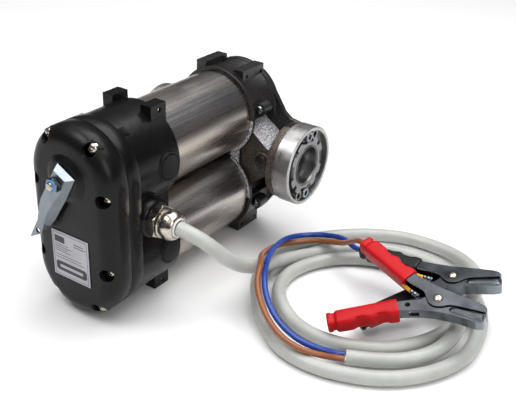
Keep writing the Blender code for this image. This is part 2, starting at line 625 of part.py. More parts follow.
def build_bypass_spring():
    coil_r, wire_r, turns, y0, y1 = 3.9, 0.55, 3, 76.6, 83.2
    rings = []
    bm = bmesh.new()
    count = turns * 8
    for k in range(count + 1):
        a = 2 * math.pi * k / 8
        centre = Vector((VALVE[0] + coil_r * math.cos(a), y0 + (y1 - y0) * k / count, VALVE[2] + coil_r * math.sin(a)))
        radial = Vector((math.cos(a), 0, math.sin(a)))
        ring = []
        for j in range(5):
            b = 2 * math.pi * j / 5
            ring.append(bm.verts.new(centre + radial * wire_r * math.cos(b) + Vector((0, wire_r * math.sin(b), 0))))
        rings.append(ring)
    for one, two in zip(rings, rings[1:]):
        for j in range(5):
            m = (j + 1) % 5
            bm.faces.new((one[j], one[m], two[m], two[j]))
    bm.faces.new(rings[0])
    bm.faces.new(list(reversed(rings[-1])))
    new_object("bypass_spring", bm, "steel")


build_bypass_spring()
new_object("bypass_poppet", turned_bm([(0, 84.2), (5.7, 84.2), (5.7, 86.6), (3.2, 89.0), (0, 89.0)], VALVE, "y", 14),
           "nickel")

# ---------------------------------------------------------------- free cords


def smooth_curve(route, step):
    """Points about `step` apart on a centripetal Catmull-Rom curve through the route."""
    pts = [Vector(p) for p in route]
    pts = [2 * pts[0] - pts[1]] + pts + [2 * pts[-1] - pts[-2]]
    fine = []
    for p0, p1, p2, p3 in zip(pts, pts[1:], pts[2:], pts[3:]):
        t1 = math.sqrt((p1 - p0).length)
        t2 = t1 + math.sqrt((p2 - p1).length)
        t3 = t2 + math.sqrt((p3 - p2).length)
        for k in range(16):
            t = t1 + (t2 - t1) * k / 16
            a1 = p0.lerp(p1, t / t1)
            a2 = p1.lerp(p2, (t - t1) / (t2 - t1))
            a3 = p2.lerp(p3, (t - t2) / (t3 - t2))
            b1 = a1.lerp(a2, t / t2)
            b2 = a2.lerp(a3, (t - t1) / (t3 - t1))
            fine.append(b1.lerp(b2, (t - t1) / (t2 - t1)))
    fine.append(pts[-2])
    total = sum((b - a).length for a, b in zip(fine, fine[1:]))
    count = round(total / step)
    out, walked, target = [fine[0]], 0.0, total / count
    for a, b in zip(fine, fine[1:]):
        seg = (b - a).length
        while walked + seg >= target - 1e-9 and len(out) < count:
            out.append(a.lerp(b, (target - walked) / seg))
            target += total / count
        walked += seg
    out.append(fine[-1])
    return out


def cord(name, route, radius, step, sides_step, finish, lead=(), tail=()):
    """A swept round cord; lead and tail are square-on end points where it meets another piece."""
    curve = bpy.data.curves.new(name, "CURVE")
    curve.dimensions = "3D"
    curve.bevel_depth = radius * MM
    curve.bevel_resolution = sides_step
    curve.use_fill_caps = True
    spline = curve.splines.new("POLY")
    pts = [Vector(p) for p in lead] + smooth_curve(route, step) + [Vector(p) for p in tail]
    spline.points.add(len(pts) - 1)
    for point, p in zip(spline.points, pts):
        point.co = (*(p * MM), 1.0)
    obj = bpy.data.objects.new(name, curve)
    curve.materials.append(material(name, *FINISH[finish]))
    bpy.context.scene.collection.objects.link(obj)
    return obj


CABLE_ROUTE = [
    (70.0, -56.4, 77.0), (80.5, -53.6, 73.0), (89, -48.6, 65.8), (95.5, -40.5, 56.0),
    (97.5, -29, 46.5), (95.5, -14, 37.0), (91.5, 3, 26.5), (88.5, 20, 18.0), (88.5, 38, 12.5), (92, 56, 9.0),
    (100, 75, 6.5), (112, 94, 5.7), (128, 111, 5.6), (148, 123, 5.6), (170, 128, 5.6), (192, 126.5, 5.6),
    (215, 117, 5.6), (236, 101, 5.6), (251, 78, 5.6), (259, 50, 5.6), (259, 20, 5.6), (247, -9, 5.6),
    (227, -31, 5.6), (203, -44.5, 5.6), (176, -51, 5.6), (150, -48, 5.6), (126, -33, 5.6), (104, -11, 5.6),
    (86, 14, 5.6), (76, 40, 5.6), (75, 68, 5.6), (85, 95, 5.6), (103, 119, 5.6), (125, 138, 5.7),
    (150, 150.5, 6.0), (175, 153, 6.7), (199, 147.5, 8.4), (219, 134, 11.1), (232, 115, 14.8), (238.5, 94, 16.5),
    (241, 72, 13.2), (240, 48, 9.8), (231, 23, 7.4), (211, -2, 6.0), (181, -18, 5.7), (150, -19, 5.6),
    (125, -6, 5.6), (107, 14, 5.6), (101, 37, 5.6), (106, 60, 5.6), (119, 81, 5.7), (138, 96, 5.9),
    (160, 103, 6.5), (184, 102, 8.2), (206, 93, 11.5), (225, 78, 16.8), (239.5, 57, 22.1), (247, 36, 17.3),
    (244, 13, 11.9), (231, -6, 8.5), (213, -19, 7.0), (192, -29.5, 6.4),
]
cord("power_cable", CABLE_ROUTE, CABLE_R, 22.5, 2, "grey", lead=[(63.3, -56.5, 77.6)])

CORE_R = 2.3
BROWN_ROUTE = [
    (188.0, -34.1, 6.5), (179.5, -43.0, 10.6), (167.3, -50.3, 14.4), (150.2, -49.5, 17),
    (134.5, -43, 20.7), (120.8, -34, 26.6), (109.5, -22.4, 33), (102, -7.2, 37.4), (93, 7.2, 34.6),
    (86.1, 22.2, 28.4), (81.5, 38.2, 22.8), (79.7, 54.7, 17.6), (83.3, 71.1, 13.5), (95.5, 83, 14.3),
    (112.3, 84.0, 18.8), (127.5, 78.5, 26.0), (139.6, 69.0, 36.5), (150.6, 59.6, 45.2),
]
BLUE_ROUTE = [
    (185.9, -29.6, 6.5), (176.0, -37.6, 10.8), (163.7, -43.0, 14.6), (147.2, -40.6, 17.4),
    (132.1, -34.5, 22), (119.6, -25.7, 29.1), (109.6, -12.8, 33.3), (101.2, 2, 32.5), (93.9, 17.1, 30.2),
    (87.8, 32.6, 27), (83.3, 48.5, 23.4), (81.2, 65, 19.8), (85.5, 80.9, 16.8), (98.5, 90.7, 17.6),
    (114.8, 90.0, 22), (128.0, 83.5, 25.8), (139.2, 77.2, 26.2),
]
cord("core_brown", BROWN_ROUTE, CORE_R, 11.5, 2, "brown", [(192.35, -32.0, 6.4)], [(156.6, 57.25, 45.6)])
cord("core_blue", BLUE_ROUTE, CORE_R, 11.5, 2, "blue", [(190.15, -27.6, 6.4)], [(145.5, 76.5, 26.6)])

# ---------------------------------------------------------------- battery clamps
# Each clamp is drawn flat in its own (u, v) plane, u towards the jaw tip and w along the rivet.
HANDLE = (math.cos(math.radians(29.0)), math.sin(math.radians(29.0)))
UPPER_W, LOWER_W, SHEET = 5.8, 4.5, 1.0
SLEEVE_START, SLEEVE_END = 29.0, 81.0


def handle_point(s, t):
    """A point s along the handle from the rivet and t outwards from its centre line."""
    return (-HANDLE[0] * s + HANDLE[1] * t, HANDLE[1] * s + HANDLE[0] * t)


def mirror(outline):
    return [(u, -v) for u, v in outline]


def clamp_matrix(pivot, turn, roll, pitch):
    rot = (Matrix.Rotation(math.radians(roll), 4, "X") @ Matrix.Rotation(math.radians(pitch), 4, "Y")
           @ Matrix.Rotation(math.radians(turn), 4, "Z"))
    return Matrix.Translation(pivot) @ rot


def sleeve_bm():
    """Closed grip sleeve over the upper handle, finger scallops on its outer side, a ringed end."""
    levels = [(SLEEVE_START, 6.6, 6.8), (SLEEVE_START + 1.0, 7.5, 7.4)]
    for start in (35.0, 50.0):
        levels += [(start, 7.5, 7.4), (start + 3.5, 5.6, 7.4), (start + 9.5, 5.6, 7.4), (start + 13.0, 7.5, 7.4)]
    levels += [(74.0, 7.5, 7.4), (75.0, 5.8, 6.2), (77.0, 5.8, 6.2), (77.8, 6.8, 6.8), (80.4, 6.8, 6.8),
               (SLEEVE_END, 6.0, 6.2)]
    bm = bmesh.new()
    loops = []
    for s, out, w in levels:
        low = -min(7.5, max(out, 7.5 if s < 74.5 else out))
        c = 2.0
        section = [(out - c, w), (out, w - c), (out, c - w), (out - c, -w), (low + c, -w), (low, c - w), (low, w - c),
                   (low + c, w)]
        loops.append([bm.verts.new((*handle_point(s, t), w_)) for t, w_ in section])
    n = 8
    for one, two in zip(loops, loops[1:]):
        for i in range(n):
            j = (i + 1) % n
            bm.faces.new((one[i], one[j], two[j], two[i]))
    bm.faces.new(loops[0])
    bm.faces.new(list(reversed(loops[-1])))
    bmesh.ops.recalc_face_normals(bm, faces=bm.faces)
    return bm


UPPER_HALF = [handle_point(72, 4.3), handle_point(26, 4.3), (-10, 13), (0, 10), (18, 6.5), (31, 3.6), (34.5, 1.5),
              (35.5, -1), (35.5, -2.8), (14, -2.8), (9, -3.5), (5, -6), (0, -7.5), (-5, -6), (-8, -2), (-11, 3),
              (-16, 5.5), handle_point(25, -4.3), handle_point(72, -4.3)]
UPPER_HOLLOW = [handle_point(80, 3.3), handle_point(26, 3.3), (-10, 11.9), (0, 8.9), (18, 5.4), (30.4, 2.7),
                (33.5, 0.9), (34.4, -1), (34.4, -20), (-31, -20), (-31, -6), handle_point(80, -20)]
LOWER_HALF = mirror([handle_point(72, 4.3), handle_point(26, 4.3), (-10, 13), (0, 11), (15, 10.5), (30, 11.8),
                     (34.5, 11), (35.5, 8.5), (35.5, 3.4), (14, 3.4), (10, 2), (6, -4), (0, -7), (-5, -5), (-9, 0),
                     (-13, 4), (-18, 5.8), handle_point(25, -4.3), handle_point(72, -4.3)])
LOWER_HOLLOW = mirror([handle_point(80, 3.3), handle_point(26, 3.3), (-10, 11.9), (0, 9.9), (15, 9.4), (30, 10.7),
                       (33.8, 10.1), (34.4, 8.5), (34.4, -20), (-31, -20), (-31, -6), handle_point(80, -20)])
SLEEVE_POCKET = [handle_point(20, 4.7), handle_point(20, -4.7), handle_point(73, -4.7), handle_point(73, 4.7)]


def place(obj, matrix):
    """Moves a piece drawn flat into its clamp's frame, keeping its origin on the rivet axis."""
    obj.data.transform(Matrix.Translation(obj.location))
    shift = matrix.copy()
    shift.translation = matrix.translation * MM
    obj.location = shift.translation
    obj.data.transform(shift.to_3x3().to_4x4())
    bpy.context.view_layer.update()


def build_clamp(tag, colour, matrix):
    pin = (0.0, 0.0, 0.0)
    halves = (("upper", UPPER_HALF, UPPER_HOLLOW, UPPER_W), ("lower", LOWER_HALF, LOWER_HOLLOW, LOWER_W))
    for word, outline, hollow, w in halves:
        steps = [(CUT, prism_bm(hollow, SHEET - w, w - SHEET, "z")), (CUT, rod_bm(pin, 2.6, -20, 20, "z", 12))]
        if word == "lower":
            steps.append((CUT, prism_bm([(-17, -30), (-10, -30), (-10, -11), (-17, -11)], -2.4, 2.4, "z")))
        place(combine(f"clamp_{word}_{tag}", prism_bm(outline, -w, w, "z"), steps, "zinc"), matrix)
        pocket = SLEEVE_POCKET if word == "upper" else mirror(SLEEVE_POCKET)
        sleeve = sleeve_bm()
        if word == "lower":
            bmesh.ops.scale(sleeve, verts=sleeve.verts, vec=(1, -1, 1))
            bmesh.ops.recalc_face_normals(sleeve, faces=sleeve.faces)
        cut = (CUT, prism_bm(pocket, -UPPER_W - 0.3, UPPER_W + 0.3, "z"))
        place(combine(f"clamp_sleeve_{word}_{tag}", sleeve, [cut], colour), matrix)
    rivet = [(0, -7.4), (3.2, -7.4), (4.2, -6.1), (2.2, -6.1), (2.2, 6.1), (4.2, 6.1), (3.2, 7.4), (0, 7.4)]
    place(new_object(f"clamp_rivet_{tag}", turned_bm(rivet, pin, "z", 12), "nickel"), matrix)


build_clamp("red", "red", clamp_matrix((232.6, 28.0, 38.2), 8.0, 20.9, -2.3))
build_clamp("black", "rubber", clamp_matrix((226.7, 71.2, 32.5), 26.5, 15.5, -5.0))

# ---------------------------------------------------------------- origin
# The drawing's y runs from the lever tip to the flange rim; the origin goes to the middle of the pump's footprint.
FOOTPRINT_SHIFT = -3.5
for obj in bpy.context.scene.objects:
    obj.location.y += FOOTPRINT_SHIFT * MM
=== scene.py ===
"""Looks of the twin-motor 12 V fluid transfer pump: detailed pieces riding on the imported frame."""

from math import copysign, cos, pi, radians, sin, sqrt

import bmesh
import bpy
from mathutils import Matrix, Vector


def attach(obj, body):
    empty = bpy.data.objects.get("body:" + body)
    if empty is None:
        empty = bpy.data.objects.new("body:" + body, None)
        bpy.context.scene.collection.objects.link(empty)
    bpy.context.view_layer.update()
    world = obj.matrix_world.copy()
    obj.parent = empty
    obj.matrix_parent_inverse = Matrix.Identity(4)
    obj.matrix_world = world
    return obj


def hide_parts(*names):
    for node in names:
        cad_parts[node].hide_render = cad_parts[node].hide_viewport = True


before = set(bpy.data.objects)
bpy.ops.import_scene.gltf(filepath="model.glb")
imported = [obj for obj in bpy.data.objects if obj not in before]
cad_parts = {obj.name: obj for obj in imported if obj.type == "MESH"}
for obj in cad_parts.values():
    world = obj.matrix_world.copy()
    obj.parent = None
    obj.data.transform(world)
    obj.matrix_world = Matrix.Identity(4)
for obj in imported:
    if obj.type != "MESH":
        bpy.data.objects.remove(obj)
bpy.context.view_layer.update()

MM = 0.001
# places in drawing coordinates, millimetres
MID_Z = 77.6
AXIS_Z = {"lower": 42.1, "upper": 113.1}
PORT_Y = 92.5
GLAND = (0, -56.5, MID_Z)
BRUSH_Y = -38.2
PIVOT_Z = 115.6
PIVOT = (0, 0, PIVOT_Z)
SHIFT = Vector((0.0, -3.5, 0.0))       # from drawing coordinates to the row frame
SIDES = (1, -1)


def new_object(name, data):
    obj = bpy.data.objects.new(name, data)
    bpy.context.scene.collection.objects.link(obj)
    return obj


def polar(r, angle):
    return r * cos(angle), r * sin(angle)


# ---- camera
AZ, EL, ROLL = radians(33.22), radians(28.47), radians(2.58)
CAM_SPOT = (0.39289, -0.46213, 0.37687)
back = Vector((sin(AZ) * cos(EL), -cos(AZ) * cos(EL), sin(EL)))
level = Vector((cos(AZ), sin(AZ), 0.0))
above = back.cross(level)
cam_x = cos(ROLL) * level + sin(ROLL) * above
cam_y = -sin(ROLL) * level + cos(ROLL) * above
cam = new_object("camera", bpy.data.cameras.new("camera"))
cam_turn = Matrix((cam_x, cam_y, back)).transposed().to_4x4()
cam.matrix_world = Matrix.Translation(CAM_SPOT) @ cam_turn
cam.data.sensor_width = 36.0
cam.data.lens = 57.93
cam.data.clip_start = 0.01
bpy.context.scene.camera = cam

# ---- material kit


def colour_ramp(tree, value, stops):
    """The colour of a ramp over a value; each stop is a position and a colour."""
    n = tree.nodes.new("ShaderNodeValToRGB")
    el = n.color_ramp.elements
    while len(el) < len(stops):
        el.new(0.5)
    for e, (pos, col) in zip(el, stops):
        e.position = pos
        e.color = (*col, 1)
    tree.links.new(value, n.inputs["Fac"])
    return n.outputs["Color"]


class Mat:
    """A Principled material built up from small procedural layers in object space (metres)."""

    def __init__(self, name, colour, metallic=0.0, rough=0.4, **sockets):
        self.m = bpy.data.materials.new(name)
        self.m.use_nodes = True
        self.t = self.m.node_tree
        self.b = self.t.nodes["Principled BSDF"]
        self.b.inputs["Base Color"].default_value = (*colour, 1)
        self.b.inputs["Metallic"].default_value = metallic
        self.b.inputs["Roughness"].default_value = rough
        for key, value in sockets.items():
            self.b.inputs[key.replace("_", " ")].default_value = value
        self.coord = self.t.nodes.new("ShaderNodeTexCoord").outputs["Object"]
        self.height = None

    def node(self, kind, **inputs):
        n = self.t.nodes.new(kind)
        for key, value in inputs.items():
            n.inputs[key.replace("_", " ")].default_value = value
        return n

    def link(self, a, b):
        self.t.links.new(a, b)

    def mapped(self, scale, offset=(0, 0, 0)):
        n = self.node("ShaderNodeMapping", Scale=scale, Location=offset)
        self.link(self.coord, n.inputs["Vector"])
        return n.outputs["Vector"]

    def noise(self, scale, detail=3.0, rough=0.5, stretch=(1, 1, 1)):
        n = self.node("ShaderNodeTexNoise", Scale=scale, Detail=detail, Roughness=rough)
        self.link(self.mapped(stretch), n.inputs["Vector"])
        return n.outputs["Fac"]

    def span(self, value, lo, hi, out_lo=0.0, out_hi=1.0):
        n = self.node("ShaderNodeMapRange")
        for k, v in zip(("From Min", "From Max", "To Min", "To Max"), (lo, hi, out_lo, out_hi)):
            n.inputs[k].default_value = v
        self.link(value, n.inputs["Value"])
        return n.outputs["Result"]

    def feed(self, sockets, values):
        """Sets a number or a colour on each socket, or links a socket to it."""
        for socket, value in zip(sockets, values):
            if isinstance(value, (int, float)):
                socket.default_value = value
            elif isinstance(value, tuple):
                socket.default_value = (*value, 1)
            else:
                self.link(value, socket)

    def mix(self, fac, a, b):
        n = self.t.nodes.new("ShaderNodeMix")
        n.data_type = "RGBA"
        self.feed([s for s in n.inputs if s.enabled], (fac, a, b))
        return [s for s in n.outputs if s.enabled][0]

    def math(self, op, a, b=0.0):
        n = self.t.nodes.new("ShaderNodeMath")
        n.operation = op
        self.feed(n.inputs, (a, b))
        return n.outputs[0]

    def colour(self, socket):
        self.link(socket, self.b.inputs["Base Color"])

    def tone(self, value, lo, hi, dark, light):
        """Base colour from dark to light as the value goes from lo to hi."""
        self.colour(self.mix(self.span(value, lo, hi), dark, light))

    def rough(self, value, lo, hi, fine, coarse):
        """Roughness from fine to coarse as the value goes from lo to hi."""
        self.link(self.span(value, lo, hi, fine, coarse), self.b.inputs["Roughness"])

    def set_normal(self, socket):
        self.height = socket
        self.link(socket, self.b.inputs["Normal"])

    def bump(self, value, strength, distance):
        n = self.node("ShaderNodeBump", Strength=strength, Distance=distance)
        self.link(value, n.inputs["Height"])
        if self.height:
            self.link(self.height, n.inputs["Normal"])
        self.set_normal(n.outputs["Normal"])

    def soft_edges(self, radius):
        n = self.t.nodes.new("ShaderNodeBevel")
        n.samples = 4
        n.inputs["Radius"].default_value = radius
        self.set_normal(n.outputs["Normal"])


def black_plastic(name, edge=0.0007, rough=0.3):
    m = Mat(name, (0.010, 0.010, 0.011), rough=rough, Specular_IOR_Level=0.2)
    m.soft_edges(edge)
    cloud = m.noise(38, 5, 0.6)
    dust = m.span(m.noise(420, 4, 0.7), 0.56, 0.78)
    m.colour(m.mix(m.math("MULTIPLY", dust, 0.16), (0.0045, 0.0045, 0.005), (0.03, 0.029, 0.028)))
    m.rough(cloud, 0.3, 0.7, rough - 0.07, rough + 0.1)
    m.bump(m.noise(95, 2), 0.10, 0.0012)
    m.bump(m.noise(1500, 2), 0.05, 0.00015)
    return m.m


def cast_enamel(name):
    m = Mat(name, (0.012, 0.011, 0.010), rough=0.34)
    m.soft_edges(0.0008)
    grain = m.noise(620, 5, 0.62)
    patch = m.noise(60, 3)
    worn = m.span(m.math("ADD", grain, m.math("MULTIPLY", patch, 0.5)), 0.86, 1.02)
    m.colour(m.mix(m.math("MULTIPLY", worn, 0.55), (0.011, 0.010, 0.0095), (0.085, 0.066, 0.050)))
    m.rough(grain, 0.35, 0.7, 0.22, 0.5)
    m.bump(grain, 0.55, 0.0006)
    m.bump(patch, 0.25, 0.0015)
    return m.m


def bare_and_highlight_casting(name):
    # painted highlight: pale grey speckled with black stands in for the top light's glare on the arms'
    # slopes; the same material gives the lips' bare front edges
    m = Mat(name, (0.5, 0.5, 0.52), rough=0.42)
    grain = m.noise(1150, 3, 0.6)
    m.tone(grain, 0.43, 0.57, (0.05, 0.05, 0.055), (0.80, 0.80, 0.83))
    m.rough(grain, 0.3, 0.7, 0.3, 0.55)
    m.bump(grain, 0.6, 0.0004)
    return m.m


def brown_sheen_casting(name):
    # painted sheen: lighter brown flecks over brown-black stand in for light falling on faces that face
    # upwards and towards the front
    m = Mat(name, (0.045, 0.036, 0.029), rough=0.36)
    m.soft_edges(0.0008)
    grain = m.noise(760, 5, 0.65)
    patch = m.noise(45, 3)
    fleck = m.span(m.math("ADD", grain, m.math("MULTIPLY", patch, 0.4)), 0.62, 0.86)
    m.colour(m.mix(fleck, (0.022, 0.018, 0.015), (0.17, 0.135, 0.10)))
    m.rough(grain, 0.35, 0.7, 0.28, 0.55)
    m.bump(grain, 0.5, 0.0005)
    return m.m


def tube_steel(name, z_axis):
    m = Mat(name, (0.5, 0.49, 0.47), metallic=1.0, rough=0.24, Anisotropic=0.35)
    split = m.node("ShaderNodeSeparateXYZ")
    m.link(m.coord, split.inputs[0])
    up = m.math("SUBTRACT", split.outputs["Z"], z_axis * MM)
    angle = m.math("ARCTAN2", up, split.outputs["X"])
    turn = m.span(angle, -pi, pi)
    # painted reflection: bright and dark bands round the tube's axis stand in for the studio reflected in the
    # steel
    painted_reflection_bands = colour_ramp(m.t, turn, [
        (0.0, (0.40, 0.37, 0.34)), (0.30, (0.30, 0.25, 0.21)), (0.44, (0.44, 0.39, 0.35)),
        (0.495, (0.40, 0.36, 0.33)), (0.52, (0.54, 0.49, 0.44)), (0.545, (0.42, 0.39, 0.38)),
        (0.60, (0.42, 0.41, 0.43)), (0.63, (0.22, 0.22, 0.23)), (0.655, (0.09, 0.09, 0.095)),
        (0.69, (0.15, 0.145, 0.145)), (0.735, (0.55, 0.53, 0.51)), (0.80, (0.62, 0.60, 0.57)),
        (1.0, (0.40, 0.37, 0.34))])
    streak = m.noise(1.0, 4, 0.6, (900, 9, 900))
    cloud = m.noise(30, 4, stretch=(1, 0.35, 1))
    tint = m.mix(m.span(cloud, 0.35, 0.7, 0.0, 0.6), painted_reflection_bands, (0.40, 0.33, 0.27))
    m.colour(m.mix(m.span(streak, 0.3, 0.75, 0.0, 0.22), tint, (0.56, 0.55, 0.54)))
    m.rough(m.math("ADD", streak, cloud), 0.7, 1.4, 0.22, 0.38)
    m.bump(streak, 0.10, 0.00012)
    return m.m


def zinc_plate(name):
    m = Mat(name, (0.60, 0.65, 0.71), metallic=1.0, rough=0.26)
    m.soft_edges(0.00035)
    cloud = m.noise(38, 5, 0.6)
    lines = m.noise(1.0, 3, stretch=(160, 60, 1900))
    m.tone(cloud, 0.3, 0.75, (0.16, 0.18, 0.20), (0.27, 0.30, 0.325))
    m.rough(m.math("ADD", cloud, lines), 0.7, 1.35, 0.15, 0.30)
    m.bump(cloud, 0.10, 0.0006)
    m.bump(lines, 0.05, 0.0001)
    return m.m


def zinc_painted_dark(name):
    # painted reflection: a dark copy of the zinc for the clamps' flat sides stands in for the dark studio
    # they reflect; the edges keep the lighter zinc
    m = Mat(name, (0.055, 0.058, 0.063), metallic=1.0, rough=0.2)
    m.soft_edges(0.0005)
    cloud = m.noise(55, 5, 0.6)
    m.tone(cloud, 0.32, 0.72, (0.030, 0.032, 0.036), (0.075, 0.08, 0.088))
    m.rough(cloud, 0.3, 0.7, 0.14, 0.27)
    m.bump(cloud, 0.16, 0.0010)
    return m.m


def nickel_plate(name):
    m = Mat(name, (0.62, 0.56, 0.48), metallic=1.0, rough=0.18)
    m.soft_edges(0.0003)
    cloud = m.noise(220, 4, 0.6)
    m.tone(cloud, 0.35, 0.7, (0.42, 0.37, 0.31), (0.66, 0.61, 0.54))
    m.rough(cloud, 0.3, 0.7, 0.12, 0.30)
    m.bump(cloud, 0.08, 0.0003)
    return m.m


def turned_aluminium(name):
    m = Mat(name, (0.62, 0.61, 0.59), metallic=1.0, rough=0.34)
    m.soft_edges(0.0003)
    split = m.node("ShaderNodeSeparateXYZ")
    m.link(m.mapped((1, 1, 1), (0, -(PORT_Y + SHIFT.y) * MM, -MID_Z * MM)), split.inputs[0])
    y2 = m.math("POWER", m.math("ABSOLUTE", split.outputs["Y"]), 2.0)
    z2 = m.math("POWER", m.math("ABSOLUTE", split.outputs["Z"]), 2.0)
    r = m.math("SQRT", m.math("ADD", y2, z2))
    join = m.node("ShaderNodeCombineXYZ")
    m.link(r, join.inputs["X"])
    m.link(m.math("MULTIPLY", split.outputs["X"], 0.6), join.inputs["Y"])
    ring = m.node("ShaderNodeTexNoise", Scale=2600, Detail=2.0)
    m.link(join.outputs[0], ring.inputs["Vector"])
    cloud = m.noise(130, 5, 0.65)
    tone = m.mix(m.span(cloud, 0.35, 0.72), (0.38, 0.375, 0.37), (0.56, 0.55, 0.545))
    # painted shade: the face inside the rim, under about 30 mm radius, is darkened towards dark grey where
    # shade falls in the recess
    painted_recess_shade = m.span(r, 0.0295, 0.0308, 0.62, 0.0)
    m.colour(m.mix(painted_recess_shade, tone, (0.10, 0.10, 0.105)))
    m.rough(m.math("ADD", ring.outputs["Fac"], cloud), 0.7, 1.3, 0.24, 0.46)
    m.bump(ring.outputs["Fac"], 0.14, 0.00015)
    m.bump(m.noise(900, 4), 0.10, 0.0002)
    return m.m


def plain_metal(name, colour, rough=0.3, scale=240.0):
    m = Mat(name, colour, metallic=1.0, rough=rough)
    m.soft_edges(0.0002)
    cloud = m.noise(scale, 4, 0.6)
    dark = tuple(0.72 * c for c in colour)
    m.tone(cloud, 0.35, 0.7, dark, colour)
    m.rough(cloud, 0.3, 0.7, rough - 0.08, rough + 0.12)
    m.bump(cloud, 0.12, 0.0002)
    return m.m


def soft_pvc(name, colour, rough, dirt, **sockets):
    m = Mat(name, colour, rough=rough, **sockets)
    cloud = m.noise(26, 5, 0.6)
    fine = m.noise(900.0, 3, 0.6)
    dark = tuple(0.80 * c for c in colour)
    tone = m.mix(m.span(cloud, 0.38, 0.68), dark, colour)
    specks = m.span(m.noise(330, 4, 0.7), 0.64, 0.78)
    m.colour(m.mix(m.math("MULTIPLY", specks, dirt), tone, tuple(0.4 * c + 0.02 for c in colour)))
    m.rough(m.math("ADD", cloud, fine), 0.75, 1.25, rough - 0.08, rough + 0.12)
    m.bump(fine, 0.08, 0.0002)
    m.bump(m.noise(70, 2), 0.08, 0.0008)
    return m.m


def matt_grain(name, colour, rough=0.6):
    m = Mat(name, colour, rough=rough)
    g = m.noise(700.0, 4, 0.6)
    m.tone(g, 0.35, 0.7, tuple(0.65 * c for c in colour), tuple(1.25 * c for c in colour))
    m.rough(g, 0.3, 0.7, rough - 0.1, rough + 0.1)
    m.bump(g, 0.3, 0.0003)
    return m.m


def label_film(name):
    m = Mat(name, (0.60, 0.59, 0.65), rough=0.34)
    cloud = m.noise(60, 4)
    m.tone(cloud, 0.3, 0.7, (0.40, 0.39, 0.43), (0.47, 0.46, 0.50))
    m.rough(cloud, 0.3, 0.7, 0.28, 0.42)
    m.bump(m.noise(160, 2), 0.05, 0.0006)
    return m.m


def wound_copper(name):
    m = Mat(name, (0.62, 0.30, 0.14), metallic=1.0, rough=0.32)
    strand = m.noise(1.0, 2, stretch=(1500, 60, 1500))
    m.tone(strand, 0.35, 0.65, (0.30, 0.11, 0.05), (0.72, 0.38, 0.19))
    m.rough(strand, 0.3, 0.7, 0.24, 0.45)
    m.bump(strand, 0.4, 0.0003)
    return m.m


MATS = {
    "cover": black_plastic("cover_black"),
    "housing": black_plastic("housing_black", 0.0006, 0.26),
    "cap": black_plastic("cap_black", 0.0003, 0.36),
    "casting": cast_enamel("body_enamel"),
    "tube_upper": tube_steel("tube_steel_upper", AXIS_Z["upper"]),
    "tube_lower": tube_steel("tube_steel_lower", AXIS_Z["lower"]),
    "zinc": zinc_plate("zinc"),
    "zinc_painted_dark": zinc_painted_dark("zinc_painted_dark_sides"),
    "nickel": nickel_plate("nickel"),
    "aluminium": turned_aluminium("flange_aluminium"),
    "steel": plain_metal("bright_steel", (0.58, 0.57, 0.55)),
    "lip": plain_metal("lip_edge", (0.70, 0.69, 0.66), 0.28),
    "copper": wound_copper("copper_wire"),
    "tail": plain_metal("tinned_tail", (0.90, 0.42, 0.06), 0.3, 900.0),
    "sheath": soft_pvc("grey_sheath", (0.50, 0.51, 0.48), 0.36, 0.18),
    "blue": soft_pvc("blue_core", (0.010, 0.055, 0.34), 0.3, 0.1),
    "brown": soft_pvc("brown_core", (0.30, 0.095, 0.032), 0.34, 0.1),
    "red": soft_pvc("red_sleeve", (0.56, 0.004, 0.008), 0.36, 0.15, Specular_IOR_Level=0.2),
    "black": soft_pvc("black_sleeve", (0.008, 0.008, 0.009), 0.38, 0.3, Specular_IOR_Level=0.25),
    "white": soft_pvc("white_seal", (0.78, 0.78, 0.77), 0.4, 0.1),
    "nylon": soft_pvc("blue_nylon", (0.10, 0.28, 0.62), 0.35, 0.1),
    "label": label_film("label_film"),
    "bare_and_highlight": bare_and_highlight_casting("bare_and_highlight_casting"),
    "brown_sheen": brown_sheen_casting("brown_sheen_casting"),
    "ink": matt_grain("label_ink", (0.03, 0.03, 0.035), 0.5),
    "magnet": matt_grain("ferrite", (0.07, 0.07, 0.075), 0.6),
    "carbon": matt_grain("graphite", (0.035, 0.035, 0.04), 0.5),
}

# ---- mesh kit (working lengths in millimetres)
WELD = 0.002            # corners nearer than this are merged after a Boolean


def new_mesh(name, bm):
    """A mesh made from a bmesh, which is freed."""
    mesh = bpy.data.meshes.new(name)
    bm.to_mesh(mesh)
    bm.free()
    return mesh


def piece(name, bm, mat, body="pump", stands=(), smooth=30.0, bevel=0.0):
    """Turns a bmesh in millimetres into a finished piece that rides on a body and may stand for CAD nodes.
    """
    bmesh.ops.recalc_face_normals(bm, faces=bm.faces)
    bmesh.ops.translate(bm, verts=bm.verts, vec=SHIFT)
    bmesh.ops.scale(bm, verts=bm.verts, vec=(MM, MM, MM))
    mesh = new_mesh(name, bm)
    obj = new_object(name, mesh)
    mesh.materials.append(MATS[mat])
    mesh.shade_smooth()
    mesh.set_sharp_from_angle(angle=radians(smooth))
    if bevel:
        mod = obj.modifiers.new("edges", "BEVEL")
        mod.width = bevel * MM
        mod.segments = 3
        mod.limit_method = "ANGLE"
        mod.angle_limit = radians(38)
    bpy.context.view_layer.update()
    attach(obj, body)
    if stands:
        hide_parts(*stands)
    return obj


def put(axis, u, w, t):
    """The point at u and w across an axis and at t along it."""
    return {"y": (u, t, w), "x": (t, u, w), "z": (u, w, t)}[axis]


def skin(loops, end_faces=None):
    """A closed bmesh over rings of matching points; end_faces splits the last cap by its corners' numbers."""
    bm = bmesh.new()
    rings = [[bm.verts.new(p) for p in loop] for loop in loops]
    for one, two in zip(rings, rings[1:]):
        for i in range(len(one)):
            j = (i + 1) % len(one)
            bm.faces.new((one[i], one[j], two[j], two[i]))
    bm.faces.new(rings[0][::-1])
    for corners in end_faces or [range(len(rings[-1]))]:
        bm.faces.new([rings[-1][k] for k in corners])
    bmesh.ops.recalc_face_normals(bm, faces=bm.faces)
    return bm


def prism(outline, lo, hi, axis="y"):
    return skin([[put(axis, u, w, t) for u, w in outline] for t in (lo, hi)])


